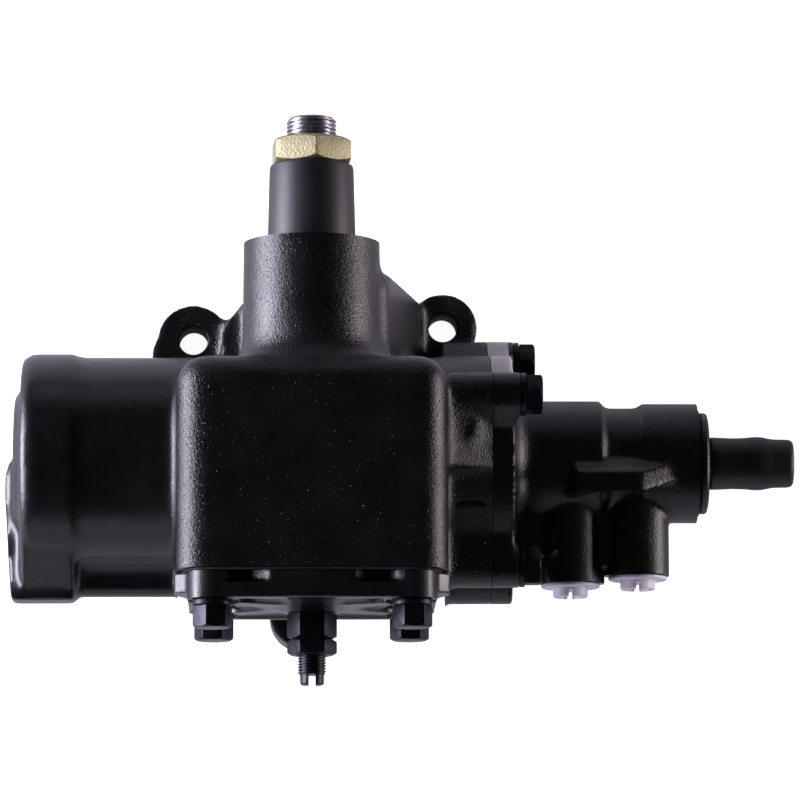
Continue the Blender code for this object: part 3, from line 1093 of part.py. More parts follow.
def make_valve():
    sleeve_bore = SPOOL_RADIUS + SHAFT_GAP
    grooves = [(VALVE_SLEEVE_START, VALVE_SLEEVE_RADIUS)]
    land = VALVE_SLEEVE_LENGTH / (2 * VALVE_SLEEVE_GROOVES + 1)
    for index in range(VALVE_SLEEVE_GROOVES):
        low = VALVE_SLEEVE_START + land * (2 * index + 1)
        grooves += [(low, VALVE_SLEEVE_RADIUS), (low, VALVE_SLEEVE_RADIUS - VALVE_SLEEVE_GROOVE),
                    (low + land, VALVE_SLEEVE_RADIUS - VALVE_SLEEVE_GROOVE), (low + land, VALVE_SLEEVE_RADIUS)]
    grooves.append((VALVE_SLEEVE_END, VALVE_SLEEVE_RADIUS))
    turned("valve_sleeve", grooves, inner=[(VALVE_SLEEVE_START, sleeve_bore), (VALVE_SLEEVE_END, sleeve_bore)],
           finish=bare_steel)
    outer = [(VALVE_SLEEVE_START, SPOOL_RADIUS), (VALVE_SLEEVE_END, SPOOL_RADIUS),
             (VALVE_SLEEVE_END + FACE_GAP, INPUT_NECK_RADIUS),
             (INPUT_SPLINE_START - FACE_GAP, INPUT_NECK_RADIUS),
             (INPUT_SPLINE_START, INPUT_SPLINE_RADIUS - INPUT_SPLINE_DEPTH),
             (INPUT_END - FACE_GAP, INPUT_SPLINE_RADIUS - INPUT_SPLINE_DEPTH)]
    shaft = turned("input_shaft", outer, finish=bare_steel)
    serrations = flower(INPUT_SPLINE_RADIUS, INPUT_SPLINE_DEPTH + SPLINE_SINK, INPUT_SPLINE_COUNT)
    join(shaft, plate("input_splines", serrations, INPUT_SPLINE_START, INPUT_END, axis="X", parent=worm_axis))
    cut(shaft, turned("input_bore", [(VALVE_SLEEVE_START - BARREL_WALL, TORSION_BORE),
                                     (INPUT_END + BARREL_WALL, TORSION_BORE)], steps=SMALL_STEPS))
    bar_end = INPUT_END - TORSION_BAR_INSET
    left_grip = TORSION_BAR_LEFT + TORSION_BAR_GRIP
    right_grip = bar_end - TORSION_BAR_GRIP
    turned("torsion_bar",
           [(TORSION_BAR_LEFT, TORSION_BAR_END_RADIUS), (left_grip, TORSION_BAR_END_RADIUS),
            (left_grip, TORSION_BAR_RADIUS), (right_grip, TORSION_BAR_RADIUS),
            (right_grip, TORSION_BAR_END_RADIUS), (bar_end, TORSION_BAR_END_RADIUS)],
           steps=SMALL_STEPS, finish=bare_steel)
    ring("input_bearing", NEEDLE_START, NEEDLE_START + NEEDLE_LENGTH, NEEDLE_BORE, NEEDLE_OUTER, "X", worm_axis,
         bare_steel)
    ring("input_seal", INPUT_SEAL_START, NOSE_END - FACE_GAP, NEEDLE_BORE, INPUT_SEAL_OUTER, "X", worm_axis,
         rubber)
    ring("retaining_ring", RETAINING_RING_START, RETAINING_RING_START + RETAINING_RING_THICKNESS,
         INPUT_SEAL_OUTER - INPUT_SEAL_WALL / 2, NOSE_RADIUS - RETAINING_RING_INSET, "X", worm_axis, black_bolt)
    ring("end_plug", END_PLUG_START, END_PLUG_START + END_PLUG_THICKNESS, NEEDLE_BORE,
         NOSE_RADIUS - END_PLUG_INSET, "X", worm_axis, black_paint)
    tip = CAP_RADIUS - CAP_TIP_STEP
    cap = [(CAP_START, CAP_RADIUS), (CAP_START + CAP_WAIST_AT, CAP_RADIUS - CAP_WAIST),
           (CAP_START + CAP_BULGE_AT, CAP_RADIUS + CAP_BULGE), (CAP_START + CAP_STEP_AT, tip),
           (CAP_END - CAP_WALL / 2, tip), (CAP_END, tip - CAP_WALL / 3)]
    body = turned("input_shaft_cap", cap, finish=vinyl)
    cut(body, turned("cap_hollow", [(CAP_START - BARREL_WALL, CAP_INNER), (INPUT_END + FACE_GAP, CAP_INNER)]))
    seal_radius = BORE_RADIUS + O_RING_CENTRE
    middle = VALVE_FACE + O_RING_RADIUS
    section = [(middle + O_RING_RADIUS * math.cos(angle), seal_radius + O_RING_RADIUS * math.sin(angle))
               for angle in (math.pi * step / 3 for step in range(6))]
    turned("housing_seal", section[:4][::-1], inner=section[4:], steps=BARREL_STEPS, finish=rubber)


def make_ports():
    for station, end, name in zip(PORT_STATIONS, PORT_ENDS, PORT_NAMES):
        place = (station, 0, PORT_OFFSET)
        disc_high = end - FACE_GAP
        disc_low = disc_high - PORT_CAP_DISC
        plug_radius = PORT_BORE_RADIUS - SHAFT_GAP
        cap = turned(name + "_port_cap",
                     [(disc_low - PORT_CAP_STUB_LENGTH, plug_radius), (disc_low, plug_radius),
                      (disc_low, PORT_CAP_RADIUS), (disc_high, PORT_CAP_RADIUS), (disc_high, plug_radius),
                      (disc_high + PORT_CAP_PLUG_LENGTH, plug_radius)],
                     axis="Y", location=place, finish=white_plastic)
        half = PORT_CAP_SLOT / 2
        middle = WORM_HEIGHT + PORT_OFFSET
        low = disc_low - PORT_CAP_STUB_LENGTH
        cut(cap, block(name + "_slot_across", (station - PORT_CAP_RADIUS, low - half, middle - half),
                       (station + PORT_CAP_RADIUS, disc_low - half, middle + half)))
        cut(cap, block(name + "_slot_along", (station - half, low - half, middle - PORT_CAP_RADIUS),
                       (station + half, disc_low - half, middle + PORT_CAP_RADIUS)))
        seat_low = end + PORT_DEPTH - FACE_GAP - PORT_SEAT_HEIGHT
        seat_high = end + PORT_DEPTH - FACE_GAP
        turned(name + "_port_seat",
               [(seat_low, PORT_SEAT_BORE + BOLT_GAP), (seat_high - PORT_SEAT_HEIGHT / 3, plug_radius),
                (seat_high, plug_radius)],
               axis="Y", location=place, inner=[(seat_low, PORT_SEAT_BORE), (seat_high, PORT_SEAT_BORE)],
               steps=SMALL_STEPS, finish=bronze)


make_gear_housing()
make_valve_housing()
make_cover()
make_bolts()
make_adjuster()
make_sector_shaft()
make_sector_fittings()
make_rack_piston()
make_balls()
make_worm()
make_valve()
make_ports()

for piece in gearbox.objects:
    if piece.type == "MESH":
        piece.data.shade_smooth()
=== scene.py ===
# %% [markdown]
# # Dressing a power steering gearbox
# The real object is a steering gearbox for a truck or car: two iron castings painted gloss
# black, bolted together, with a big steel shaft out of one side and a small one out of the end.
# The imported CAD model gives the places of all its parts. This lesson puts a detailed skin on
# each part that shows: first the castings, then the fasteners, caps, finishes and the studio.
#
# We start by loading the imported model. Nothing in it is moved; every new piece is set on it.

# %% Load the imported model
import json
import math

import bpy
import numpy
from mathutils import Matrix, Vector


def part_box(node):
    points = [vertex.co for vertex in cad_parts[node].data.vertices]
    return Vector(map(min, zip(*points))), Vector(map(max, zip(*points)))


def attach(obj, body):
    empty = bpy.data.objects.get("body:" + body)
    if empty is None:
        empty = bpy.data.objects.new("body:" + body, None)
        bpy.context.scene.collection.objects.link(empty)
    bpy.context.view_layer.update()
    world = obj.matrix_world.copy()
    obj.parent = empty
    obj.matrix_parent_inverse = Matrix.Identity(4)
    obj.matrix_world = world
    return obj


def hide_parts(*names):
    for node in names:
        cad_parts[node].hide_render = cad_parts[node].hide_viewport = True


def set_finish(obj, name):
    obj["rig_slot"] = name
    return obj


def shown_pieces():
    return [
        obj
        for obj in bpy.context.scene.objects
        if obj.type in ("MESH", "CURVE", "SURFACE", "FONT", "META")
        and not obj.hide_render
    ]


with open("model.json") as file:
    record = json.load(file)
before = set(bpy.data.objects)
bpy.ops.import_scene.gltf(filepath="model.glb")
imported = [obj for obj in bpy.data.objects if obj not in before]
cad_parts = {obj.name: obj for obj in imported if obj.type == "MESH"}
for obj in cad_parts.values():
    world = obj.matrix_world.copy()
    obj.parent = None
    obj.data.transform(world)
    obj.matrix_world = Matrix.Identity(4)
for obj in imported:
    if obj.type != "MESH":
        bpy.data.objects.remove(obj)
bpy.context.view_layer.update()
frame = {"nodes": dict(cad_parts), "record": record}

# %% [markdown]
# ## Two axes to measure from
# A gearbox is drawn from its two shafts, so we do the same. X is measured from the big sector
# shaft, Y from the small worm shaft, and Z from the machined feet that the box stands on. Their
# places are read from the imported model: the plastic sleeve sits on the sector shaft, and the
# vinyl cap sits on the worm shaft's end. All sizes below are in millimetres.

# %% Find the two shafts and a way to name a place
MM = 0.001
sleeve_low, sleeve_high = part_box("spline_sleeve")
cap_low, cap_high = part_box("input_shaft_cap")
sector_x = (sleeve_low.x + sleeve_high.x) / 2
worm_y = (cap_low.y + cap_high.y) / 2
SECTOR_Z = (sleeve_low.z + sleeve_high.z) / 2 / MM
WORM_Z = (cap_low.z + cap_high.z) / 2 / MM
SECTOR_AXIS, WORM_AXIS = (0, 0, SECTOR_Z), (0, 0, WORM_Z)


def at(x, y, z):
    """A place in metres, from millimetres measured from the two shafts and the feet."""
    return Vector((sector_x + x * MM, worm_y + y * MM, z * MM))


print("sector shaft at Z", round(SECTOR_Z, 2), "worm shaft at Z", round(WORM_Z, 2))

# %% [markdown]
# ## Turned forms
# Shafts, bosses, bores and the round housings are all forms that a lathe or a round core box
# would make. They could be spun from a half outline, but a solid that is grown like a telescope
# is easier to follow: a disc is added at the first station, then it is extruded along the
# axis and resized at every next station. With an unfilled circle the same walk goes out along
# the outside and back through the bore, and a bridge closes the ring.

# %% Tools for turned forms
AXES = {
    "X": (Vector((1, 0, 0)), (0, math.pi / 2, 0)),
    "Y": (Vector((0, 1, 0)), (-math.pi / 2, 0, 0)),
    "Z": (Vector((0, 0, 1)), (0, 0, 0)),
}
WELD = 0.00001  # metres; points nearer than this become one


def deselect_all():
    if bpy.context.mode != "OBJECT":
        bpy.ops.object.mode_set(mode="OBJECT")
    bpy.ops.object.select_all(action="DESELECT")


def pick(*pieces):
    """Select these pieces alone; the first one is active."""
    deselect_all()
    for piece in pieces:
        piece.select_set(True)
    bpy.context.view_layer.objects.active = pieces[0]
    return pieces[0]


def edit(kind, action="SELECT"):
    """Open the active piece for editing, by one kind of element, with all or none selected."""
    bpy.ops.object.mode_set(mode="EDIT")
    bpy.ops.mesh.select_mode(type=kind)
    bpy.ops.mesh.select_all(action=action)


def settle(name):
    """Close the edit: weld, point faces outwards, and put the piece's place into its mesh."""
    bpy.ops.mesh.select_all(action="SELECT")
    bpy.ops.mesh.remove_doubles(threshold=WELD)
    bpy.ops.mesh.normals_make_consistent(inside=False)
    bpy.ops.object.mode_set(mode="OBJECT")
    bpy.ops.object.transform_apply()
    bpy.context.object.name = name
    return bpy.context.object


def on_axis(axis, centre, station):
    place = list(centre)
    place["XYZ".index(axis)] = station
    return at(*place)


def turned(name, axis, centre, stations, bore=(), sides=96):
    """Grow a round form through (station, radius) pairs; bore is walked back inside it."""
    direction, turn = AXES[axis]
    station, radius = stations[0]
    deselect_all()
    bpy.ops.mesh.primitive_circle_add(vertices=sides, radius=radius * MM,
                                      fill_type="NOTHING" if bore else "NGON",
                                      location=on_axis(axis, centre, station), rotation=turn)
    edit("EDGE" if bore else "FACE")
    for next_station, next_radius in [*stations[1:], *reversed(bore)]:
        bpy.ops.mesh.extrude_region_move(
            TRANSFORM_OT_translate={"value": direction * (next_station - station) * MM})
        share = next_radius / radius
        bpy.ops.transform.resize(value=(share, share, share),
                                 center_override=on_axis(axis, centre, next_station))
        station, radius = next_station, next_radius
    if bore:
        bpy.ops.mesh.select_all(action="DESELECT")
        bpy.ops.mesh.select_non_manifold()
        bpy.ops.mesh.bridge_edge_loops()
    return settle(name)


# %% [markdown]
# ## Flat and stretched forms
# Webs, the cover and blocks are flat shapes with a thickness. Such a plate starts as one vertex
# that walks round its outline, is filled and then extruded. Ears, lugs and ribs look like a rubber
# band stretched round two round bars, so bars are added and wrapped in a convex hull.

# %% Tools for flat and stretched forms


def corner(axis, u, v, station):
    """A point of a drawing seen along an axis: (X, Y) for Z, (X, Z) for Y and (Y, Z) for X."""
    return {"Z": at(u, v, station), "Y": at(u, station, v), "X": at(station, u, v)}[axis]


def plate(name, axis, outline, low, high):
    """Walk a vertex round an outline, fill it and extrude it from low to high."""
    places = [corner(axis, u, v, low) for u, v in [*outline, outline[0]]]
    deselect_all()
    bpy.ops.mesh.primitive_plane_add(size=MM, location=places[0])
    edit("VERT")
    bpy.ops.mesh.merge(type="CENTER")
    for here, there in zip(places, places[1:]):
        bpy.ops.mesh.extrude_vertices_move(TRANSFORM_OT_translate={"value": there - here})
    bpy.ops.mesh.select_all(action="SELECT")
    bpy.ops.mesh.remove_doubles(threshold=WELD)
    bpy.ops.mesh.edge_face_add()
    rise = AXES[axis][0] * (high - low) * MM
    bpy.ops.mesh.extrude_region_move(TRANSFORM_OT_translate={"value": rise})
    return settle(name)


def stretched(name, axis, bars, low, high, sides=64):
    """Wrap a band round bars given as (u, v, radius), from low to high."""
    deselect_all()
    for u, v, radius in bars:
        bpy.ops.mesh.primitive_cylinder_add(vertices=sides, radius=radius * MM, depth=(high - low) * MM,
                                            location=corner(axis, u, v, (low + high) / 2),
                                            rotation=AXES[axis][1])
        if bpy.context.mode == "OBJECT":
            bpy.ops.object.mode_set(mode="EDIT")
    bpy.ops.mesh.select_all(action="SELECT")
    bpy.ops.mesh.convex_hull()
    return settle(name)


def block(name, low, high):
    """A box between two corners."""
    low, high = at(*low), at(*high)
    deselect_all()
    bpy.ops.mesh.primitive_cube_add(size=1, location=(low + high) / 2, scale=high - low)
    bpy.ops.object.mode_set(mode="EDIT")
    return settle(name)


def round_edges(piece, radius, segments, keep):
    """Bevel the edges whose middle passes a test."""
    pick(piece)
    edit("EDGE", "DESELECT")
    bpy.ops.object.mode_set(mode="OBJECT")
    points = piece.data.vertices
    for edge in piece.data.edges:
        edge.select = bool(keep((points[edge.vertices[0]].co + points[edge.vertices[1]].co) / 2))
    bpy.ops.object.mode_set(mode="EDIT")
    bpy.ops.mesh.bevel(offset=radius * MM, segments=segments, affect="EDGES")
    return settle(piece.name)


# %% [markdown]
# ## Casting and machining
# A sand casting is one skin: where two forms meet there is a fillet, and no outer edge is truly
# sharp. Bevelling every meeting line by hand would take days, so the forms are melted together
# with a voxel remesh and then softened with a Smooth modifier, which leaves just such fillets.
# Where the real fillets are wider, only the hollow lines are smoothed again, through a vertex
# group of the points that lie lower than their neighbours.
# A cutter then takes off what a machine shop takes off, with Booleans, so that joint faces and
# bores have crisp edges, as on the real thing.

# %% Tools for casting and machining


def apply_all(piece):
    pick(piece)
    for step in list(piece.modifiers):
        bpy.ops.object.modifier_apply(modifier=step.name)
    return piece


def cast(name, forms, grain, passes):
    """Melt overlapping forms into one skin, with voxels of a grain in mm, and soften it."""
    body = pick(*forms)
    bpy.ops.object.join()
    skin = body.modifiers.new("one skin", "REMESH")
    skin.mode = "VOXEL"
    skin.voxel_size = grain * MM
    soften = body.modifiers.new("soften", "SMOOTH")
    soften.factor = 0.5
    soften.iterations = passes
    body.name = name
    apply_all(body)
    print(name, "cast with", len(body.data.polygons), "faces")
    return body


HOLLOW = 0.000008  # metres; a point this far below its neighbours lies in a hollow


def fillet_hollows(body, rounds, passes):
    """Soften only the hollow lines of a casting, round after round, so that its fillets grow."""
    body.vertex_groups.new(name="hollows")
    count, lines = len(body.data.vertices), len(body.data.edges)
    ends = numpy.empty(lines * 2, numpy.int64)
    body.data.edges.foreach_get("vertices", ends)
    ends = ends.reshape(-1, 2)
    links = numpy.bincount(ends.ravel(), minlength=count)
    for _ in range(rounds):
        places, normals = numpy.empty(count * 3), numpy.empty(count * 3)
        body.data.vertices.foreach_get("co", places)
        body.data.vertices.foreach_get("normal", normals)
        places, normals = places.reshape(-1, 3), normals.reshape(-1, 3)
        pull = numpy.zeros((count, 3))
        numpy.add.at(pull, ends[:, 0], places[ends[:, 1]])
        numpy.add.at(pull, ends[:, 1], places[ends[:, 0]])
        rise = ((pull / links[:, None] - places) * normals).sum(1)
        group = body.vertex_groups["hollows"]
        group.remove(list(range(count)))
        group.add(numpy.flatnonzero(rise > HOLLOW).tolist(), 1.0, "REPLACE")
        step = body.modifiers.new("fill hollows", "SMOOTH")
        step.vertex_group = "hollows"
        step.factor = 0.6
        step.iterations = passes
        apply_all(body)
    body.vertex_groups.clear()
    return body


def combine(body, tools, operation="DIFFERENCE", solver="MANIFOLD"):
    """Cut tools out of a body, or weld them on, and take the tools away."""
    for tool in tools:
        step = body.modifiers.new(tool.name, "BOOLEAN")
        step.operation = operation
        step.solver = solver
        step.object = tool
        apply_all(body)
        bpy.data.objects.remove(tool)
    return body


def drill(body, name, axis, places, stations, sides=32):
    """Cut the same turned tool out of a body at every place."""
    for place in places:
        combine(body, [turned(name, axis, place, stations, sides=sides)])


def smooth_by_angle(piece, degrees):
    pick(piece)
    bpy.ops.object.shade_smooth_by_angle(angle=math.radians(degrees))
    return piece


def fit(piece, body, slot, *nodes):
    """Say what a finished piece rides on, its finish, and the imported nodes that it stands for."""
    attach(piece, body)
    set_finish(piece, slot)
    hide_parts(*nodes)
    return piece


def triangles(piece):
    return sum(len(face.vertices) - 2 for face in piece.data.polygons)


# %% [markdown]
# ## The gear housing: barrel, chamber and boss
# This is the big casting. The piston slides in its barrel, the toothed sector turns in the square
# chamber, and the boss carries the sector shaft up to the arm. In the photograph the barrel's
# closed end has a slightly fatter rim and a foot below it, and an oil rail runs along its side.
# Each form is made a little oversize where a machined face will cut it.

# %% Model the gear housing's main forms
JOINT, FLANGE_FACE = 80, 90
BARREL = 47.7
CHAMBER_SIDE, CHAMBER_BACK, CHAMBER_TOP = 59.1, 36.2, 151.95
housing_forms = [
    turned("barrel", "X", WORM_AXIS,
           [(-129.3, 44.6), (-128.4, 46.8), (-127.0, 48.2), (-125.0, 49.1), (-122.5, 49.3),
            (-106.2, 49.3), (-104.6, BARREL), (FLANGE_FACE, BARREL)], sides=128),
    turned("end_disc", "X", WORM_AXIS,
           [(-132.9, 29.4), (-131.9, 31.6), (-129.0, 33.4), (-120, 33.4)]),
    stretched("end_flank", "X", [(-50, WORM_Z, 13.2), (0, WORM_Z, 47)], -129.5, -105.2),
    plate("end_plate", "Z",
          [(-106, -62.6), (-133.9, -62.6), (-134.6, -58), (-137.3, -14), (-137.0, -5.5),
           (-135.4, -0.5), (-131, 3.5), (-106, 3.5)], WORM_Z - 9, WORM_Z + 9),
    stretched("rail_flank", "X", [(-53.0, WORM_Z, 5.7), (-20, WORM_Z, 25)], -110, FLANGE_FACE),
    turned("oil_rail", "X", (0, -53.5, WORM_Z), [(-124.5, 6.9), (FLANGE_FACE, 6.9)], sides=32),
    turned("boss", "Y", SECTOR_AXIS,
           [(20, 38), (34, 36.0), (36.5, 34.5), (39, 32.8), (42, 31.4), (47, 30.6), (60, 30.4),
            (104, 29.95)], sides=128),
    turned("boss_rib", "Y", (27.0, 0, SECTOR_Z), [(0, 7.4), (69.6, 7.4), (74.0, 6.6), (77.2, 4.6)],
           sides=32),
    turned("rib_root", "Y", (27.0, 0, SECTOR_Z), [(20, 11), (36, 10.5), (39, 8.6), (44, 7.4)],
           sides=32),
]
chamber = block("chamber", (-CHAMBER_SIDE, -75, WORM_Z), (CHAMBER_SIDE, CHAMBER_BACK, CHAMBER_TOP))
EDGE = 0.1 * MM  # an edge this near to a face belongs to it
low, high = at(-CHAMBER_SIDE, -70, 0), at(CHAMBER_SIDE, CHAMBER_BACK, CHAMBER_TOP)
round_edges(chamber, 13.0, 6, lambda middle: (middle.z > high.z - EDGE and middle.y > low.y) or
            (middle.y > high.y - EDGE and not low.x + EDGE < middle.x < high.x - EDGE))
housing_forms.append(chamber)
print("main forms:", len(housing_forms))

# %% [markdown]
# ## The gear housing: webs, ears and flange
# Two slanting webs tie the boss to the two upper mounting ears, with a pocket behind each one
# that saves weight. A third ear sits under the cover. The pockets are cut before the casting is
# softened, so that they get soft edges too. The flange on the right comes in the next step.

# %% Model the webs and ears
EARS = {"a": (-53.6, 61.4, 16.3, -37.4), "b": (60.5, 67.3, 15.7, 42.4), "c": (-3.7, -64.8, 15.0, -2.5)}
EAR_ROOT_Y, EAR_ROOT, EAR_TOP = 26.7, 21, 22.2
WEB_FOOT, POCKET_FOOT, BOSS_TOP = 7.3, 13.2, 90.4
webs = [("left", [(-46.3, WEB_FOOT), (0, WEB_FOOT), (0, 112), (-29.2, 112), (-29.2, 44), (-40.8, 22)], 71,
         [(-31.8, POCKET_FOOT), (-4.5, POCKET_FOOT), (-4.5, 78.3), (-20.2, 78.3), (-20.2, 44)]),
        ("right", [(-4.5, WEB_FOOT), (51.4, WEB_FOOT), (51.4, 22), (34.6, 104.8), (27.7, 118.5),
                   (-4.5, 118.5)], 78,
         [(9, POCKET_FOOT), (42.4, POCKET_FOOT), (25.6, 78.3), (9, 78.3)])]
for side, outline, reach, pocket in webs:
    web = plate(side + "_web", "Y", outline, 0, reach)
    combine(web, [plate(side + "_pocket", "Y", pocket, 44, BOSS_TOP)], solver="EXACT")
    housing_forms.append(web)
housing_forms.append(plate("web_saddle", "Z", [(-40, 30), (-40, 58), (-37.0, 63.5), (-33.5, 67.5),
                                               (-30.0, 72.0), (-20, 73), (-20, 30)], WEB_FOOT, 70))
housing_forms.append(stretched("ear_a_heel", "Z", [(-54.8, 53.5, 17.7), (-36.6, EAR_ROOT_Y, EAR_ROOT)],
                               -8, EAR_TOP))
for letter, (x, y, radius, root_x) in EARS.items():
    root = (root_x, math.copysign(EAR_ROOT_Y, y), EAR_ROOT)
    housing_forms.append(stretched("ear_" + letter, "Z", [(x, y, radius), root], -8, EAR_TOP))
print("forms so far:", len(housing_forms))

# %% [markdown]
# The flange and its lugs are seen along the worm shaft: a disc, and for each bolt a round lug
# with straight flanks that run back into the disc. The same drawing serves both housings, so it
# is a helper. The bolts' angles are counted from +Y towards +Z. A pad and a gusset fill the
# corner between the flange and the chamber. Then all forms are cast in one.

# %% Draw the joint flange with its lugs
BOLT_CIRCLE = 55.2
FLANGE_BOLTS = [(0, BOLT_CIRCLE * math.cos(angle), WORM_Z + BOLT_CIRCLE * math.sin(angle))
                for angle in map(math.radians, (64.0, -26.5, 153.0, 224.0))]
FLANGE_RADIUS, LUG = 48.5, 9.8


def flange_forms(low, high, proud):
    """A disc and its lugs, between two stations along the worm shaft."""
    forms = [turned("flange_disc", "X", WORM_AXIS,
                    [(low, FLANGE_RADIUS + proud), (high, FLANGE_RADIUS + proud)], sides=128)]
    for _, y, z in FLANGE_BOLTS:
        forms.append(stretched("lug", "X", [(y, z, LUG + proud), (0, WORM_Z, 26)], low, high))
    forms.append(stretched("flange_foot", "X", [(-53.5, WORM_Z, 10 + proud), (0, WORM_Z, 42)], low, high))
    return forms


housing_forms += flange_forms(59, FLANGE_FACE, 0.1)
housing_forms.append(stretched("side_pad", "Z", [(64.5, 8, 5.0), (69.5, 8, 5.0)], WORM_Z, 111.6))
housing_forms.append(plate("gusset", "Y", [(50, 60), (50, 121), (58.5, 120), (60.5, 114.5), (80.3, 104.0),
                                           (81, 60)], -8.5, 15.5))
gear_housing = cast("gear_housing_casting", housing_forms, 1.45, 5)
fillet_hollows(gear_housing, 4, 9)

# %% [markdown]
# ## Machining the gear housing
# Now the machine shop: the feet are milled flat, the joint faces for the cover and the valve
# housing are cut square, the boss is faced and chamfered, and the bores and bolt holes are
# made. A big block that overlaps the waste is the simplest milling cutter.

# %% Mill the joint faces and bore the gear housing
combine(gear_housing, [
    block("feet_cutter", (-160, -120, -40), (160, 120, 0)),
    block("cover_cutter", (-60, -100, 23), (60, -57.5, 190)),
    block("boss_cutter", (-60, BOSS_TOP, 40), (60, 140, 190)),
    block("joint_cutter", (JOINT, -120, -40), (140, 120, 190)),
    turned("piston_bore", "X", WORM_AXIS,
           [(-122.8, 41.2), (79, 41.2), (80.5, 42.2), (FLANGE_FACE, 42.2)]),
    turned("chamber_bore", "Y", SECTOR_AXIS, [(-70, 35.8), (27, 35.8)]),
    stretched("side_recess", "Z", [(67.0, -26, 3.9), (73.6, -26, 3.9)], 96.7, 120),
    turned("boss_bore", "Y", SECTOR_AXIS,
           [(0, 22.5), (74.25, 22.5), (74.25, 24.3), (89.4, 24.3), (90.6, 25.6), (100, 25.6)]),
])
COVER_BOLTS = [(side * 43.3, 0, SECTOR_Z + depth * 28.0) for depth in (1, -1) for side in (-1, 1)]
BOLT_HOLE = 5.9
drill(gear_housing, "ear_hole", "Z", [(x, y, 0) for x, y, *_ in EARS.values()],
      [(-10, 7.6), (0, 7.6), (0.9, 6.6), (21.5, 6.6), (22.4, 7.3), (30, 7.3)], sides=48)
drill(gear_housing, "cover_thread", "Y", COVER_BOLTS, [(-66, BOLT_HOLE), (-37.5, BOLT_HOLE)])
drill(gear_housing, "valve_thread", "X", FLANGE_BOLTS, [(63, BOLT_HOLE), (FLANGE_FACE, BOLT_HOLE)])
smooth_by_angle(gear_housing, 38)
fit(gear_housing, "housing", "black_paint", "gear_housing")
print("gear housing triangles:", triangles(gear_housing))

# %% [markdown]
# ## The valve housing
# The smaller casting carries the steering valve. From the joint it has the same lugged flange,
# a fillet, a round body, a neck and a nose, two oil ports on the near side and a raised block
# with sloping sides on the front. Its forms are cast in the same way.

# %% Cast the valve housing
PORTS = {"pressure": (116.1, -55.0), "return": (146.3, -51.6)}
PORT_Z = WORM_Z + 5
BODY, NECK, NOSE = 28.1, 24.9, 26.9
valve_forms = flange_forms(74, 90.2, 0.1)
valve_forms += [turned("lug_pad", "X", place, [(JOINT, 9.9), (93.2, 9.7)], sides=48)
                for place in FLANGE_BOLTS]
valve_forms.append(turned("valve_body", "X", WORM_AXIS,
                          [(JOINT, 37), (90.2, 36.4), (91.6, 33.2), (94, 30.4), (97.8, 28.3), (101, BODY),
                           (130, BODY), (131.9, NECK), (146.6, NECK), (148.5, NOSE), (180, NOSE)],
                          sides=128))
for name, (station, end) in PORTS.items():
    valve_forms.append(turned(name + "_boss", "Y", (station, 0, PORT_Z), [(end - 12, 14.2), (0, 14.2)],
                              sides=64))
valve_forms.append(block("port_web", (PORTS["pressure"][0], -48, PORT_Z - 7),
                         (PORTS["return"][0], 0, PORT_Z + 7)))
valve_forms.append(plate("flange_web", "Z", [(84, -4), (84, -50), (92, -48), (98, -43), (108, -43),
                                             (116, -46), (116, -4)], PORT_Z - 12, PORT_Z + 9))


def wedge(name, base, top):
    """A block whose corners are each put in place, in the order of X, then of Y."""
    deselect_all()
    bpy.ops.mesh.primitive_cube_add(size=2)
    for point in bpy.context.object.data.vertices:
        ring = top if point.co.z > 0 else base
        point.co = at(*ring[(point.co.x > 0) + 2 * (point.co.y > 0)])
    bpy.ops.object.mode_set(mode="EDIT")
    return settle(name)


RIB_LOW, RIB_HIGH = 67, 89.3
valve_forms.append(wedge(
    "rib_block", [(109.5, -18.5, RIB_LOW), (186, -2.0, RIB_LOW), (109.5, 11, RIB_LOW), (186, 6, RIB_LOW)],
    [(118.2, -17.6, RIB_HIGH), (146.6, -17.6, RIB_HIGH), (118.2, -8.3, RIB_HIGH), (146.6, -8.3, RIB_HIGH)]))
valve_housing = cast("valve_housing_casting", valve_forms, 1.15, 4)
fillet_hollows(valve_housing, 2, 4)

# %% [markdown]
# The machine shop faces the flange, the nose and the two port faces, and drills the oil ports.

# %% Machine the valve housing
combine(valve_housing, [
    block("joint_cutter", (60, -120, -20), (80.3, 120, 130)),
    block("nose_cutter", (173.3, -60, -20), (200, 60, 130)),
    turned("valve_bore", "X", WORM_AXIS,
           [(70, 23.6), (94.3, 23.6), (94.3, 20.3), (146, 20.3), (146, 14.3), (167.3, 14.3), (167.3, 18.4),
            (172.4, 18.4), (173.4, 19.3), (190, 19.3)]),
])
drill(valve_housing, "valve_bolt_hole", "X", FLANGE_BOLTS, [(70, BOLT_HOLE), (110, BOLT_HOLE)])
drill(valve_housing, "pad_facing", "X", FLANGE_BOLTS, [(92, 11.2), (110, 11.2)], sides=48)
for name, (station, end) in PORTS.items():
    combine(valve_housing, [
        block("port_facing", (station - 15.1, end - 30, PORT_Z - 20),
              (station + 15.1, end, PORT_Z + 20)),
        turned("port_bore", "Y", (station, 0, PORT_Z),
               [(end - 5, 9.2), (end - 0.1, 9.2), (end + 1.0, 8.2), (end + 18, 8.2), (end + 18, 3.5),
                (-15, 3.5)], sides=48),
    ])
smooth_by_angle(valve_housing, 38)
fit(valve_housing, "housing", "black_paint", "valve_housing")
print("valve housing triangles:", triangles(valve_housing))

# %% [markdown]
# ## The sector cover
# The cover is a plate with a raised rim that dips between its bolts, corner plates at the sides,
# ribs that run in to a low cone for the adjuster screw, and a round socket inside. Half of its
# outline is written down and mirrored. It is die cast, so its edges are crisper: finer voxels
# and fewer passes.

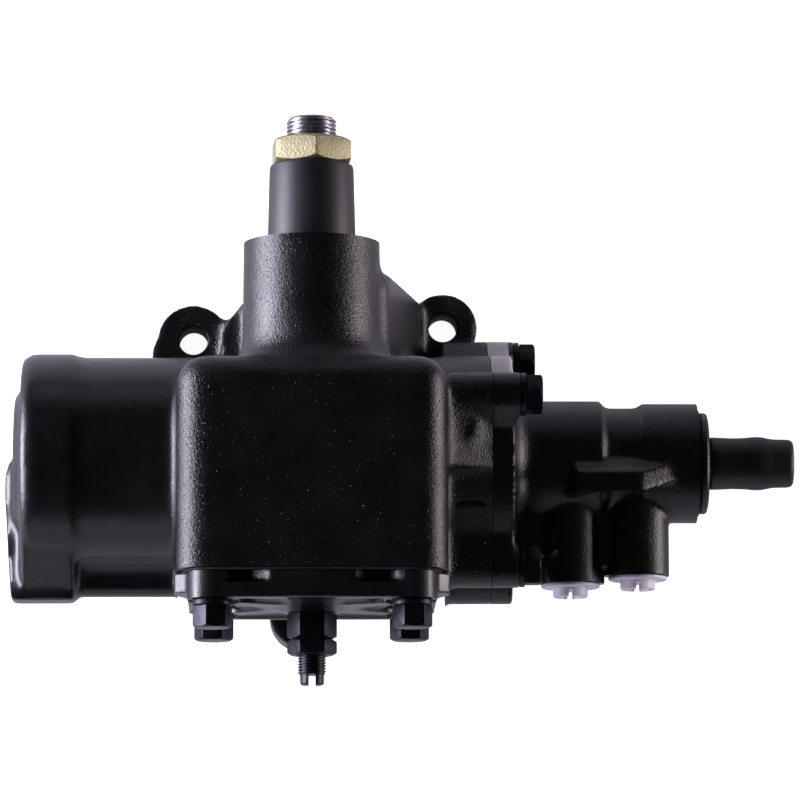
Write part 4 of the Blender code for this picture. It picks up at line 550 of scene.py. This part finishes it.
# %% Cast and machine the cover
DIP_X, EDGE_Z = 30, 39.6
half = [(54.3, 0), (54.3, 28), (49, 36), (40, 38.6), (DIP_X, 30.5), (18, 39.0), (0, EDGE_Z)]
plan = half + [(-x, z) for x, z in reversed(half[:-1])]
plan += [(x, -z) for x, z in reversed(plan[1:-1])]
rim_plan = [(x, z) for x, z in plan if abs(x) != DIP_X]
cover_forms = [
    plate("cover_plate", "Y", [(x, SECTOR_Z + z) for x, z in plan], -68.6, -50),
    combine(plate("cover_rim", "Y", [(x, SECTOR_Z + z) for x, z in rim_plan], -70.7, -64.0),
            [plate("rim_gap", "Y", [(x * 0.86, SECTOR_Z + z * 0.80) for x, z in rim_plan], -80, -50)],
            solver="EXACT"),
    turned("cover_hub", "Y", SECTOR_AXIS,
           [(-74.2, 11.5), (-73.4, 13.0), (-70.6, 24), (-68, 30), (-62, 31)]),
    turned("cover_dome", "Y", SECTOR_AXIS, [(-70.2, 34), (-68.5, 38), (-60, 38)]),
]
cover_forms.append(block("low_rim", (-40, -72.5, SECTOR_Z - EDGE_Z), (40, -60, SECTOR_Z - 35)))
for side in (-1, 1):
    cover_forms.append(plate("cover_corner", "Y", [
        (side * x, SECTOR_Z + z) for x, z in
        [(40, -8), (53, -8), (60.2, 6), (60.2, 16.5), (50.6, 25.6), (40, 25.6)]], -66.8, -50))
for x, y, z in COVER_BOLTS:
    cover_forms.append(turned("cover_lug", "Y", (x, y, z), [(-72.0, 10.9), (-50, 10.9)], sides=48))
    cover_forms.append(stretched("cover_rib", "Y", [(x, z, 4.5), (0, SECTOR_Z, 9)], -71.9, -60))
cover = cast("sector_cover_casting", cover_forms, 0.85, 3)
fillet_hollows(cover, 2, 5)
combine(cover, [
    block("inner_facing", (-80, -58.8, 20), (80, -30, 200)),
    block("hub_facing", (-20, -90, SECTOR_Z - 20), (20, -73.7, SECTOR_Z + 20)),
])
combine(cover, [turned("cover_socket", "Y", SECTOR_AXIS, [(-62, 26.7), (-30, 26.7)])], "UNION")
combine(cover, [
    turned("socket_bore", "Y", SECTOR_AXIS, [(-66.3, 21.5), (-20, 21.5)]),
    turned("adjuster_hole", "Y", SECTOR_AXIS, [(-90, 6.5), (-60, 6.5)], sides=48),
])
drill(cover, "cover_hole", "Y", COVER_BOLTS, [(-80, BOLT_HOLE), (-40, BOLT_HOLE)])
drill(cover, "lug_facing", "Y", COVER_BOLTS, [(-80, 11.6), (-70.5, 11.6)], sides=48)
smooth_by_angle(cover, 38)
fit(cover, "housing", "black_paint", "sector_cover")
print("cover triangles:", triangles(cover))

# %% [markdown]
# ## Hexagon bolts and washers
# A bolt head is cold forged and then its outer corners are turned off at 30 degrees. So a six
# sided bar is added, a cone shaped ring of corners is taken away by intersecting it with a
# chamfered disc, and the last sharp edges get a tiny bevel. One bolt and one washer are modelled
# at a first place; the others are copies with their own mesh. A spanner leaves each cover bolt
# turned by its own angle.

# %% Model one bolt and one washer


def hexagon_bar(name, axis, centre, low, high, flats, turn, chamfers):
    """A hexagon between two stations, whose chamfered ends are listed as 'low' and 'high'."""
    deselect_all()
    bpy.ops.mesh.primitive_cylinder_add(vertices=6, radius=flats / math.sqrt(3) * MM,
                                        depth=(high - low) * MM, rotation=(0, 0, turn))
    bar = bpy.context.object
    bpy.ops.object.transform_apply()
    bar.rotation_euler = AXES[axis][1]
    bar.location = on_axis(axis, centre, (low + high) / 2)
    bpy.ops.object.transform_apply()
    reach, rim = flats / math.sqrt(3) + 0.3, flats * 0.475
    fall = (reach - rim) * math.tan(math.radians(30))
    start = [(low - 0.01, rim), (low + fall, reach)] if "low" in chamfers else [(low - 1, reach)]
    end = [(high - fall, reach), (high + 0.01, rim)] if "high" in chamfers else [(high + 1, reach)]
    combine(bar, [turned("chamfer_disc", axis, centre, start + end, sides=72)], "INTERSECT", "EXACT")
    bar.name = name
    return bar


def ease_edges(piece, width, degrees=25):
    """A bevel on the sharp edges, as wear, plating and tumbling leave them."""
    ease = piece.modifiers.new("ease", "BEVEL")
    ease.width = width * MM
    ease.segments = 2
    ease.limit_method = "ANGLE"
    ease.angle_limit = math.radians(degrees)
    ease.use_clamp_overlap = True
    apply_all(piece)
    return smooth_by_angle(piece, 35)


SHANK, UPRIGHT = 5.5, math.pi / 6
first = COVER_BOLTS[0]
head = hexagon_bar("bolt_head", "Y", first, -83.0, -73.5, 15.2, UPRIGHT, ["low"])
combine(head, [turned("shank", "Y", first, [(-76, SHANK), (-39.5, SHANK)], sides=48)], "UNION", "EXACT")
ease_edges(head, 0.25)
washer = turned("washer", "Y", first, [(-73.2, 8.9), (-70.8, 8.9)],
                bore=[(-73.2, BOLT_HOLE), (-70.8, BOLT_HOLE)], sides=64)
ease_edges(washer, 0.3)
print("bolt faces:", len(head.data.polygons), "washer faces:", len(washer.data.polygons))

# %% [markdown]
# The cover's bolts point along Y. The flange bolts point along X and are a little shorter, so
# the same head is modelled once more for them, then copied round the flange.

# %% Copy the fasteners to their places


def copy_of(piece, name, move=(0, 0, 0), turn=0, pivot=None):
    """A copy with its own mesh, its place in the mesh, turned about the pivot's Y line by degrees."""
    pick(piece)
    bpy.ops.object.duplicate(linked=False)
    fresh = bpy.context.object
    fresh.location = Vector(move) * MM
    if turn:
        bpy.ops.transform.rotate(value=math.radians(turn), orient_axis="Y", center_override=pivot)
    bpy.ops.object.transform_apply()
    fresh.name = name
    return fresh


def bolt_up(kind, patterns, places, turns=(0, 0, 0, 0)):
    """Copy a bolt and its washer to every place, and take the patterns away."""
    for index, (place, turn) in enumerate(zip(places, turns), start=1):
        move = [there - here for there, here in zip(place, places[0])]
        for pattern, part, form in zip(patterns, ("bolt", "washer"), ("hex", "ring")):
            node = f"{kind}_{part}_{index}"
            fresh = copy_of(pattern, f"{node}_{form}", move, turn if part == "bolt" else 0, at(*place))
            fasteners.append(fit(fresh, "housing", "blackened_steel", node))
    for pattern in patterns:
        bpy.data.objects.remove(pattern)


fasteners = []
COVER_BOLT_TURNS = (-12.6, -5.4, 4, -3)  # degrees
bolt_up("cover", (head, washer), COVER_BOLTS, COVER_BOLT_TURNS)
start = FLANGE_BOLTS[0]
head = hexagon_bar("flange_head", "X", start, 95.0, 102.0, 16.4, UPRIGHT, ["high"])
combine(head, [turned("shank", "X", start, [(65.0, SHANK), (97, SHANK)], sides=48)], "UNION", "EXACT")
ease_edges(head, 0.25)
washer = ease_edges(turned("flange_washer", "X", start, [(92.3, 9.5), (94.7, 9.5)],
                           bore=[(92.3, BOLT_HOLE), (94.7, BOLT_HOLE)], sides=64), 0.3)
bolt_up("valve", (head, washer), FLANGE_BOLTS)
print("fasteners:", len(fasteners))

# %% [markdown]
# ## Cutting a thread
# A thread is a groove that runs round a bar as a helix. The tool's own outline, a blunt V, is
# drawn beside the axis and a Screw modifier carries it round, one pitch further at each turn.
# That helix is then cut out of the bar. Real pitches are used: 7/8-14 is 1.81 mm, and the
# adjuster has 1.27 mm. The outline's places along the axis are shares of the pitch.

# %% A thread cutter


def thread_cutter(name, axis, centre, low, high, radius, pitch, depth, steps=48):
    """A helical groove tool between two stations."""
    root, mouth = radius - depth, radius + 0.25
    outline = [(root, -0.10), (root, 0.10), (mouth, -0.46), (mouth, 0.46)]
    deselect_all()
    bpy.ops.mesh.primitive_plane_add(size=1)
    tool = bpy.context.object
    for point, (reach, share) in zip(tool.data.vertices, outline):
        point.co = Vector((reach, 0, share * pitch)) * MM
    helix = tool.modifiers.new("helix", "SCREW")
    helix.axis = "Z"
    helix.angle = 2 * math.pi
    helix.screw_offset = pitch * MM
    helix.iterations = math.ceil((high - low) / pitch)
    helix.steps = steps
    helix.render_steps = steps
    apply_all(tool)
    tool.rotation_euler = AXES[axis][1]
    tool.location = on_axis(axis, centre, low)
    edit("VERT")
    bpy.ops.mesh.remove_doubles(threshold=WELD)
    bpy.ops.mesh.fill_holes(sides=0)
    return settle(name)


# %% [markdown]
# ## The sector shaft and its nut
# Only the threaded end of the sector shaft shows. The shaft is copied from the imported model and
# welded, its plain end is sawn off, and a finer end with a real thread is welded on. The nut is
# yellow zinc plated steel with both faces chamfered.

# %% Model the shaft's threaded end
SHAFT_END, SHAFT_PITCH, SCREW_PITCH = 11.1, 1.81, 1.27
shaft = copy_of(frame["nodes"]["sector_shaft"], "sector_shaft_threaded")
pick(shaft)
bpy.ops.object.mode_set(mode="EDIT")
settle("sector_shaft_threaded")
combine(shaft, [block("saw", (-30, 124.0, SECTOR_Z - 30), (30, 160, SECTOR_Z + 30))], solver="EXACT")
combine(shaft, [turned("shaft_end", "Y", SECTOR_AXIS,
                       [(123.0, 10.3), (126.5, 10.3), (127.0, SHAFT_END), (145.2, SHAFT_END),
                        (146.9, 9.5)], sides=96)], "UNION", "EXACT")
combine(shaft, [thread_cutter("shaft_thread", "Y", SECTOR_AXIS, 130, 148, SHAFT_END, SHAFT_PITCH, 1.0)],
        solver="EXACT")
smooth_by_angle(shaft, 30)
fit(shaft, "sector", "bare_steel", "sector_shaft")
print("shaft faces:", len(shaft.data.polygons))

# %% Model the zinc plated nut
nut = hexagon_bar("pitman_nut_hex", "Y", SECTOR_AXIS, 125.7, 137.3, 33.3, math.radians(5.5),
                  ["low", "high"])
combine(nut, [turned("nut_bore", "Y", SECTOR_AXIS,
                     [(120, 12.6), (125.6, 12.6), (127.0, 11.4), (136.0, 11.4), (137.4, 12.6),
                      (140, 12.6)])], solver="EXACT")
ease_edges(nut, 0.3)
fit(nut, "sector", "yellow_zinc", "pitman_nut")
print("nut faces:", len(nut.data.polygons))

# %% [markdown]
# ## The plastic sleeve over the splines
# A moulded sleeve protects the splines in transit. It tapers a little towards the nut and its
# rims are softly rounded, so its outline gets short steps there. It is turned with its bore.

# %% Model the sleeve
sleeve = turned("spline_sleeve_moulded", "Y", SECTOR_AXIS,
                [(87.65, 19.0), (88.2, 19.5), (90.5, 19.5), (123.8, 18.65), (125.0, 18.3),
                 (125.38, 17.6)],
                bore=[(87.65, 17.8), (88.5, 16.95), (105, 16.5), (125.38, 16.2)], sides=128)
smooth_by_angle(sleeve, 40)
fit(sleeve, "sector", "sleeve_plastic", "spline_sleeve")
print("sleeve faces:", len(sleeve.data.polygons))

# %% [markdown]
# ## The adjuster
# The lash adjuster is a slotted screw that comes through the cover, locked by a tall seal nut and
# a thin jam nut. Both are oxide black and catch a bluish light on their facets.

# %% Model the adjuster screw and its nuts
screw = turned("adjuster_screw_slotted", "Y", SECTOR_AXIS,
               [(-105.3, 4.6), (-104.7, 5.25), (-100.9, 5.25), (-100.3, 6.2), (-58.0, 6.2),
                (-58.0, 9.0), (-55.0, 9.0)], sides=64)
combine(screw, [thread_cutter("adjuster_thread", "Y", SECTOR_AXIS, -102.5, -86.0, 6.2, SCREW_PITCH, 0.7),
                block("slot", (-1.5, -110, SECTOR_Z - 12), (1.5, -100.8, SECTOR_Z + 12))],
        solver="EXACT")
smooth_by_angle(screw, 30)
fit(screw, "adjuster", "blackened_steel", "adjuster_screw")
nuts = []
for name, low, high, ends in (("adjuster_seal_nut", -85.0, -74.0, ["low"]),
                              ("adjuster_jam_nut", -92.3, -85.3, ["low", "high"])):
    ring = hexagon_bar(name + "_hex", "Y", SECTOR_AXIS, low, high, 19.0, UPRIGHT, ends)
    combine(ring, [turned("nut_bore", "Y", SECTOR_AXIS,
                          [(low - 2, 7.3), (low, 7.3), (low + 0.9, 6.5), (high + 2, 6.5)], sides=64)],
            solver="EXACT")
    ease_edges(ring, 0.25)
    nuts.append(fit(ring, "housing", "blackened_steel", name))
print("adjuster faces:", len(screw.data.polygons), [len(ring.data.polygons) for ring in nuts])

# %% [markdown]
# ## The valve housing's end: ring, plug and vinyl cap
# A snap ring and a pressed end plug close the nose. The soft vinyl cap over the input splines is
# dip moulded, so it has a slow waist, a step and a round tip, and no sharp edge at all.

# %% Model the end of the valve housing
ring = ease_edges(turned("retaining_ring_flat", "X", WORM_AXIS, [(173.62, 23.8), (174.38, 23.8)],
                         bore=[(173.62, 14.3), (174.38, 14.3)]), 0.12)
fit(ring, "housing", "blackened_steel", "retaining_ring")
plug = turned("end_plug_pressed", "X", WORM_AXIS,
              [(174.75, 22.3), (175.2, 22.8), (177.0, 22.8), (177.9, 22.2), (178.25, 20.8), (178.25, 15.0),
               (177.6, 14.2)],
              bore=[(174.75, 10.9), (177.6, 10.9)], sides=96)
smooth_by_angle(plug, 30)
fit(plug, "housing", "black_paint", "end_plug")
cap = turned("input_shaft_cap_dipped", "X", WORM_AXIS,
             [(179.35, 11.1), (179.6, 11.6), (180.3, 11.85), (184, 11.7), (190, 11.45), (195, 11.6),
              (199.8, 12.05), (203, 11.95), (206.0, 11.3), (208.2, 10.95), (214.5, 10.85), (216.2, 10.4),
              (217.0, 9.3), (217.18, 7.0)],
             bore=[(179.35, 10.0), (212.3, 10.0), (212.4, 0.01)], sides=96)
smooth_by_angle(cap, 60)
fit(cap, "input_cap", "black_vinyl", "input_shaft_cap")
print("nose pieces:", len(ring.data.polygons), len(plug.data.polygons), len(cap.data.polygons))

# %% [markdown]
# ## Shipping caps in the oil ports
# Both ports are closed by white polythene plugs: a thin disc, and a stub whose two crossed slots
# let it spring. Seen from the side the stub looks like a little crown.

# %% Model the two port caps
for name, (station, end) in PORTS.items():
    low = end - 6.2
    stopper = turned(name + "_port_stopper", "Y", (station, 0, PORT_Z),
                     [(low + rise, radius) for rise, radius in
                      [(0, 7.2), (0.5, 7.85), (4.0, 7.9), (4.25, 12.5), (4.6, 13.1), (5.55, 13.1),
                       (5.88, 12.7), (5.88, 7.85), (13.5, 7.85), (13.88, 7.3)]], sides=80)
    start, end = low - 2, low + 3.2
    combine(stopper, [
        block("slot_across", (station - 14, start, PORT_Z - 1.1), (station + 14, end, PORT_Z + 1.1)),
        block("slot_along", (station - 1.1, start, PORT_Z - 14), (station + 1.1, end, PORT_Z + 14)),
        turned("stub_hollow", "Y", (station, 0, PORT_Z), [(start, 5.4), (end, 5.1)], sides=48),
    ], solver="EXACT")
    ease_edges(stopper, 0.12, 40)
    fit(stopper, name + "_cap", "white_plastic", name + "_port_cap")
    print(stopper.name, len(stopper.data.polygons))

# %% [markdown]
# ## Mixing finishes
# Every finish is a small node tree on a Principled shader. One function turns a hex colour into
# the linear numbers that Blender mixes, and one adds a node with its settings and its links. The
# patterns read Object coordinates in metres, so a scale is one over a real length. Nearly every
# real surface wanders a little in colour and gloss, so one helper starts a finish that way.

# %% Tools for finishes


def colour(code):
    """An sRGB hex colour as linear RGBA."""
    shares = [int(code[start:start + 2], 16) / 255 for start in (1, 3, 5)]
    return (*(share / 12.92 if share <= 0.04045 else ((share + 0.055) / 1.055) ** 2.4
              for share in shares), 1)


def result(node):
    """A node's main output; a Mix node of colours has it in third place."""
    return node.outputs[2 if node.bl_idname == "ShaderNodeMix" else 0]


def add(material, kind, sockets=None, to=None, **settings):
    """Add a node. A socket gets a value, an output or a node's result; to is a socket to feed."""
    fresh = material.node_tree.nodes.new("ShaderNode" + kind)
    for name, value in settings.items():
        setattr(fresh, name, value)
    for name, value in (sockets or {}).items():
        if isinstance(value, bpy.types.Node):
            value = result(value)
        if isinstance(value, bpy.types.NodeSocket):
            material.node_tree.links.new(value, fresh.inputs[name])
        else:
            fresh.inputs[name].default_value = value
    if to:
        material.node_tree.links.new(result(fresh), to)
    return fresh


def per_mm(size):
    """Pattern scale for features of a size in mm, on coordinates in metres."""
    return 1000 / size


def finish(name, size, detail, dark, light, gloss=None, grain=None, **numbers):
    """A finish that wanders between two colours over a size in mm.

    gloss gives two roughnesses to wander between, and grain the size in mm, the detail, the
    strength and the depth in metres of a fine bump.
    """
    material = bpy.data.materials.new(name)
    material.use_nodes = True
    shader = material.node_tree.nodes["Principled BSDF"].inputs
    for socket, value in numbers.items():
        shader[socket.replace("_", " ")].default_value = value
    place = add(material, "TexCoord").outputs["Object"]
    wander = add(material, "TexNoise", {"Vector": place, "Scale": per_mm(size), "Detail": detail})
    tone = add(material, "Mix", {0: wander, 6: colour(dark), 7: colour(light)}, shader["Base Color"],
               data_type="RGBA")
    if gloss:
        add(material, "MapRange", {"Value": wander, "To Min": gloss[0], "To Max": gloss[1]},
            shader["Roughness"])
    if grain:
        skin = add(material, "TexNoise", {"Vector": place, "Scale": per_mm(grain[0]), "Detail": grain[1]})
        add(material, "Bump", {"Height": skin, "Strength": grain[2], "Distance": grain[3]},
            shader["Normal"])
    return material, shader, place, wander, tone


print("paint black in linear light:", [round(value, 4) for value in colour("#0B0A0D")])

# %% [markdown]
# ## Gloss black enamel over sand cast iron
# The castings are sprayed with alkyd enamel (IOR about 1.5) straight over cast iron. A slow noise
# makes the gloss uneven, as drifts of spray do. On the rim of the joint flange a patch of pale
# grey is painted highlight, where a lug face catches the light; it is made duller than the paint.
# It is marked off by planes in metres, and the mask mixes the painted highlight in and adds to the
# roughness.

# %% Mix the black enamel
enamel, shader, place, drift, tone = finish("gloss_black_enamel_on_cast_iron", 22, 3.0, "#060507",
                                            "#0D0C0F", IOR=1.5, Metallic=0.0)
station = add(enamel, "SeparateXYZ", {"Vector": place}).outputs
# Planes that mark off the patch on the flange rim where a pale grey highlight is painted.
PAINTED_HIGHLIGHT_PATCH = (("X", "GREATER_THAN", 0.0404), ("X", "LESS_THAN", 0.0498),
                ("Y", "GREATER_THAN", 0.0125), ("Z", "GREATER_THAN", 0.030), ("Z", "LESS_THAN", 0.0945))
painted_highlight = 1.0
for line, rule, limit in PAINTED_HIGHLIGHT_PATCH:
    side = add(enamel, "Math", {0: station[line], 1: limit}, operation=rule)
    painted_highlight = add(enamel, "Math", {0: side, 1: painted_highlight}, operation="MULTIPLY")
# The pale grey mixed in here is a painted highlight on the lug face, not a colour of the casting.
add(enamel, "Mix", {0: painted_highlight, 6: tone, 7: colour("#E4E3E8")}, shader["Base Color"], data_type="RGBA")
gloss = add(enamel, "MapRange", {"Value": drift, "From Min": 0.3, "From Max": 0.7,
                                 "To Min": 0.26, "To Max": 0.38})
add(enamel, "Math", {0: painted_highlight, 1: 0.28, 2: gloss}, shader["Roughness"], operation="MULTIPLY_ADD")
print("enamel nodes so far:", len(enamel.node_tree.nodes))

# %% [markdown]
# ## The enamel's grain
# The sand leaves grains of about a millimetre that the paint only half hides, so a long highlight
# breaks into bright crumbs. Three bumps are stacked: the sand, the slow orange peel of the spray,
# and round pimples where single grains stand up. The barrel's skin is calmer than the chamber's
# and the boss's, so a ramp along X sets how deep the grain is. The cover is die cast and much
# smoother, so along Y the depth falls off just inside the cover's rim.

# %% Add the grain to the enamel
GRAIN_ALONG_X = ((0.0, 0.15), (0.08, 0.15), (0.11, 0.70), (0.16, 0.70), (0.20, 0.48), (0.70, 0.48),
                 (0.72, 0.95), (0.79, 0.95), (0.81, 0.42), (1.0, 0.36))
along = add(enamel, "MapRange", {"Value": station["X"], "From Min": -0.12, "From Max": 0.08})
coarse = add(enamel, "ValToRGB", {"Fac": along})
marks = coarse.color_ramp.elements
for index, (stop, depth) in enumerate(GRAIN_ALONG_X):
    mark = marks[index] if index < 2 else marks.new(stop)
    mark.position, mark.color = stop, (depth, depth, depth, 1)
die_cast = add(enamel, "MapRange", {"Value": station["Y"], "From Min": -0.0797, "From Max": -0.0787,
                                    "To Min": 0.00018, "To Max": 0.0006})
depth = add(enamel, "Math", {0: coarse, 1: die_cast}, operation="MULTIPLY")
sand = add(enamel, "TexNoise", {"Vector": place, "Scale": per_mm(1.0), "Detail": 3.0, "Roughness": 0.6})
peel = add(enamel, "TexNoise", {"Vector": place, "Scale": per_mm(5.5), "Detail": 2.0})
grit = add(enamel, "TexVoronoi", {"Vector": place, "Scale": per_mm(2.4)})
pimple = add(enamel, "MapRange", {"Value": grit, "From Min": 0.0, "From Max": 0.17,
                                  "To Min": 1.0, "To Max": 0.0})
bump = add(enamel, "Bump", {"Height": sand, "Strength": 1.0, "Distance": depth})
bump = add(enamel, "Bump", {"Height": peel, "Strength": 0.35, "Distance": 0.0004, "Normal": bump})
add(enamel, "Bump", {"Height": pimple, "Strength": 0.7, "Distance": depth, "Normal": bump},
    shader["Normal"])
print("enamel nodes:", len(enamel.node_tree.nodes))

# %% [markdown]
# ## Black oxide, bright steel and yellow zinc
# The bolts are steel with a hot black oxide: a dark metal with a bluish cast. The shaft is
# turned steel with fine lathe marks round its axis. The nut is zinc plated and passivated
# yellow, slightly pitted, and its colour wanders from straw to pale green gold. The bearings are
# sintered bronze, seen only when the gearbox is taken apart.

# %% Mix the metals
oxide, *_ = finish("black_oxide_steel", 4, 4.0, "#1B1B1E", "#3A3A3F", (0.28, 0.50),
                   (0.7, 2.0, 0.6, 0.00006), Metallic=1.0)
steel, shader, place, *_ = finish("turned_bright_steel", 3, 4.0, "#807E87", "#B2B0BA", (0.22, 0.42),
                                  Metallic=1.0)
station = add(steel, "SeparateXYZ", {"Vector": place}).outputs
lathe = add(steel, "TexNoise", {"W": station["Y"], "Scale": per_mm(0.35), "Detail": 2.0},
            noise_dimensions="1D")
add(steel, "Bump", {"Height": lathe, "Strength": 0.3, "Distance": 0.00003}, shader["Normal"])
zinc, *_ = finish("yellow_passivated_zinc_plate", 6, 5.0, "#8A7F5E", "#ABA68A", (0.46, 0.64),
                  (1.1, 4.0, 0.8, 0.0003), Metallic=1.0)
bronze, *_ = finish("sintered_bearing_bronze", 0.5, 3.0, "#8F6534", "#C79A5C", Metallic=1.0,
                    Roughness=0.38)
print("metals mixed:", oxide.name, steel.name, zinc.name, bronze.name)

# %% [markdown]
# ## Plastics, rubber and gasket paper
# The sleeve is injection moulded polythene, satin, with faint drag lines. The input cap is dip
# moulded vinyl: soft, slightly wrinkled, with specks of dust. The port plugs are white
# polythene, which lets a little light in. The seals are nitrile rubber, and the gasket is
# pressed fibre; both only show when a joint is taken apart.

# %% Mix the plastics and rubbers
satin, *_ = finish("satin_black_polythene", 9, 3.0, "#0F0E13", "#1C1B22", (0.44, 0.56),
                   (0.9, 2.0, 0.25, 0.00005), IOR=1.51)
vinyl, shader, place, dust, tone = finish("dip_moulded_black_vinyl", 1.6, 4.0, "#0E0E10", "#3A3A40",
                                          IOR=1.52)
add(vinyl, "MapRange", {"Value": dust, "From Min": 0.66, "From Max": 0.74}, tone.inputs[0])
wrinkle = add(vinyl, "TexNoise", {"Vector": place, "Scale": per_mm(4.5), "Detail": 4.0,
                                  "Distortion": 1.2})
add(vinyl, "MapRange", {"Value": wrinkle, "To Min": 0.36, "To Max": 0.58}, shader["Roughness"])
add(vinyl, "Bump", {"Height": wrinkle, "Strength": 0.5, "Distance": 0.0005}, shader["Normal"])
milky, *_ = finish("white_polythene", 5, 2.0, "#DAD8E8", "#EFEEF7", (0.35, 0.50), IOR=1.51,
                   Subsurface_Weight=0.35, Subsurface_Scale=0.002)
nitrile, *_ = finish("nitrile_rubber", 3, 3.0, "#101011", "#1D1D1F", IOR=1.52, Roughness=0.62)
paper, *_ = finish("pressed_fibre_gasket", 0.8, 5.0, "#14120F", "#2A2621", Roughness=0.85)
print("soft finishes mixed:", satin.name, vinyl.name, milky.name, nitrile.name, paper.name)

# %% [markdown]
# ## Putting the finishes on
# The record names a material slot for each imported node. A new piece says which slot it stands
# for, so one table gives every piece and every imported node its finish.

# %% Give each piece its finish
FINISHES = {
    "black_paint": enamel, "blackened_steel": oxide, "bare_steel": steel, "yellow_zinc": zinc,
    "bronze": bronze, "seal_rubber": nitrile, "gasket_fibre": paper, "sleeve_plastic": satin,
    "black_vinyl": vinyl, "white_plastic": milky,
}
slot_of_node = {entry["node"]: entry["material_slot"] for entry in frame["record"]["subparts"]}
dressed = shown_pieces() + list(frame["nodes"].values())
for piece in dressed:
    piece.data.materials.clear()
    piece.data.materials.append(FINISHES[piece.get("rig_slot") or slot_of_node[piece.name]])
print("finishes put on", len(dressed), "pieces")

# %% [markdown]
# ## The studio
# Product photographs of black gloss parts are lit by long soft boxes at the sides, with nothing
# bright overhead: round forms then get a bright band on each side and a black middle. The left
# box is strong and slightly lavender, the right one weak and a little pink, and two faint ones
# stand at the far and near side. The floor is plain white. It glows white for the camera and
# faintly in reflections, and the rest is true diffuse that takes the shadow.

# %% Build the floor, the boxes and the room
deselect_all()
bpy.ops.mesh.primitive_plane_add(size=12, location=(0, 0, -0.0002))
floor = bpy.context.object
floor.name = "studio_floor"
bpy.ops.object.transform_apply()
white = bpy.data.materials.new("white_studio_floor")
white.use_nodes = True
white.node_tree.nodes.clear()
rays = add(white, "LightPath").outputs
mirrored = add(white, "Math", {0: rays["Is Glossy Ray"], 1: 0.10}, operation="MULTIPLY")
seen = add(white, "Math", {0: rays["Is Camera Ray"], 1: rays["Is Transmission Ray"]},
           operation="MAXIMUM")
strength = add(white, "Math", {0: seen, 1: 0.96, 2: mirrored}, operation="MULTIPLY_ADD")
plain = add(white, "BsdfDiffuse", {"Color": colour("#F4F0F7")})
glow = add(white, "Emission", {"Color": (1, 1, 1, 1), "Strength": strength})
both = add(white, "AddShader", {0: plain, 1: glow})
add(white, "OutputMaterial", {"Surface": both})
floor.data.materials.append(white)


def soft_box(name, place, aim, wide, tall, power, tint):
    """A rectangular lamp that looks from a place at a point."""
    deselect_all()
    bpy.ops.object.light_add(type="AREA", location=place)
    lamp = bpy.context.object
    lamp.name = name
    lamp.data.shape = "RECTANGLE"
    lamp.data.size = wide
    lamp.data.size_y = tall
    lamp.data.energy = power
    lamp.data.color = colour(tint)[:3]
    lamp.rotation_euler = (Vector(aim) - Vector(place)).to_track_quat("-Z", "Y").to_euler()
    return lamp


middle = (0, 0, 0.07)
soft_box("left_box", (-1.5, 0.05, 0.34), middle, 1.5, 0.62, 72, "#F1EEFF")
soft_box("right_box", (1.6, 0.0, 0.20), middle, 1.3, 0.34, 20, "#FBF2F6")
soft_box("far_box", (0.1, 1.7, 0.55), middle, 1.4, 0.5, 1.5, "#F6F2FF")
soft_box("near_box", (-0.2, -1.7, 0.40), middle, 1.2, 0.4, 2, "#F6F2FF")

room = bpy.data.worlds.new("studio_room")
bpy.context.scene.world = room
room.use_nodes = True
room.node_tree.nodes.clear()
rays = add(room, "LightPath").outputs
seen = add(room, "Background", {"Color": (1, 1, 1, 1), "Strength": 1.0})
dim = add(room, "Background", {"Color": colour("#F2F1F8"), "Strength": 0.04})
blend = add(room, "MixShader", {0: rays["Is Camera Ray"], 1: dim, 2: seen})
add(room, "OutputWorld", {"Surface": blend})
print("studio built")

# %% [markdown]
# ## The camera
# The photograph looks down from a little in front of the cover side, from far away with a long
# lens. The camera was found from the corners of the machined faces in the photograph.

# %% Set the camera
deselect_all()
bpy.ops.object.camera_add(location=(-0.05395, -0.3495, 2.5089),
                          rotation=(math.radians(8.296), math.radians(-1.2366), math.radians(-0.180)))
camera = bpy.context.object
camera.data.sensor_width = 36
camera.data.lens = 247.5
camera.data.clip_end = 50
bpy.context.scene.camera = camera
bpy.context.scene.view_settings.view_transform = "Standard"
print("camera at", [round(value, 3) for value in camera.location])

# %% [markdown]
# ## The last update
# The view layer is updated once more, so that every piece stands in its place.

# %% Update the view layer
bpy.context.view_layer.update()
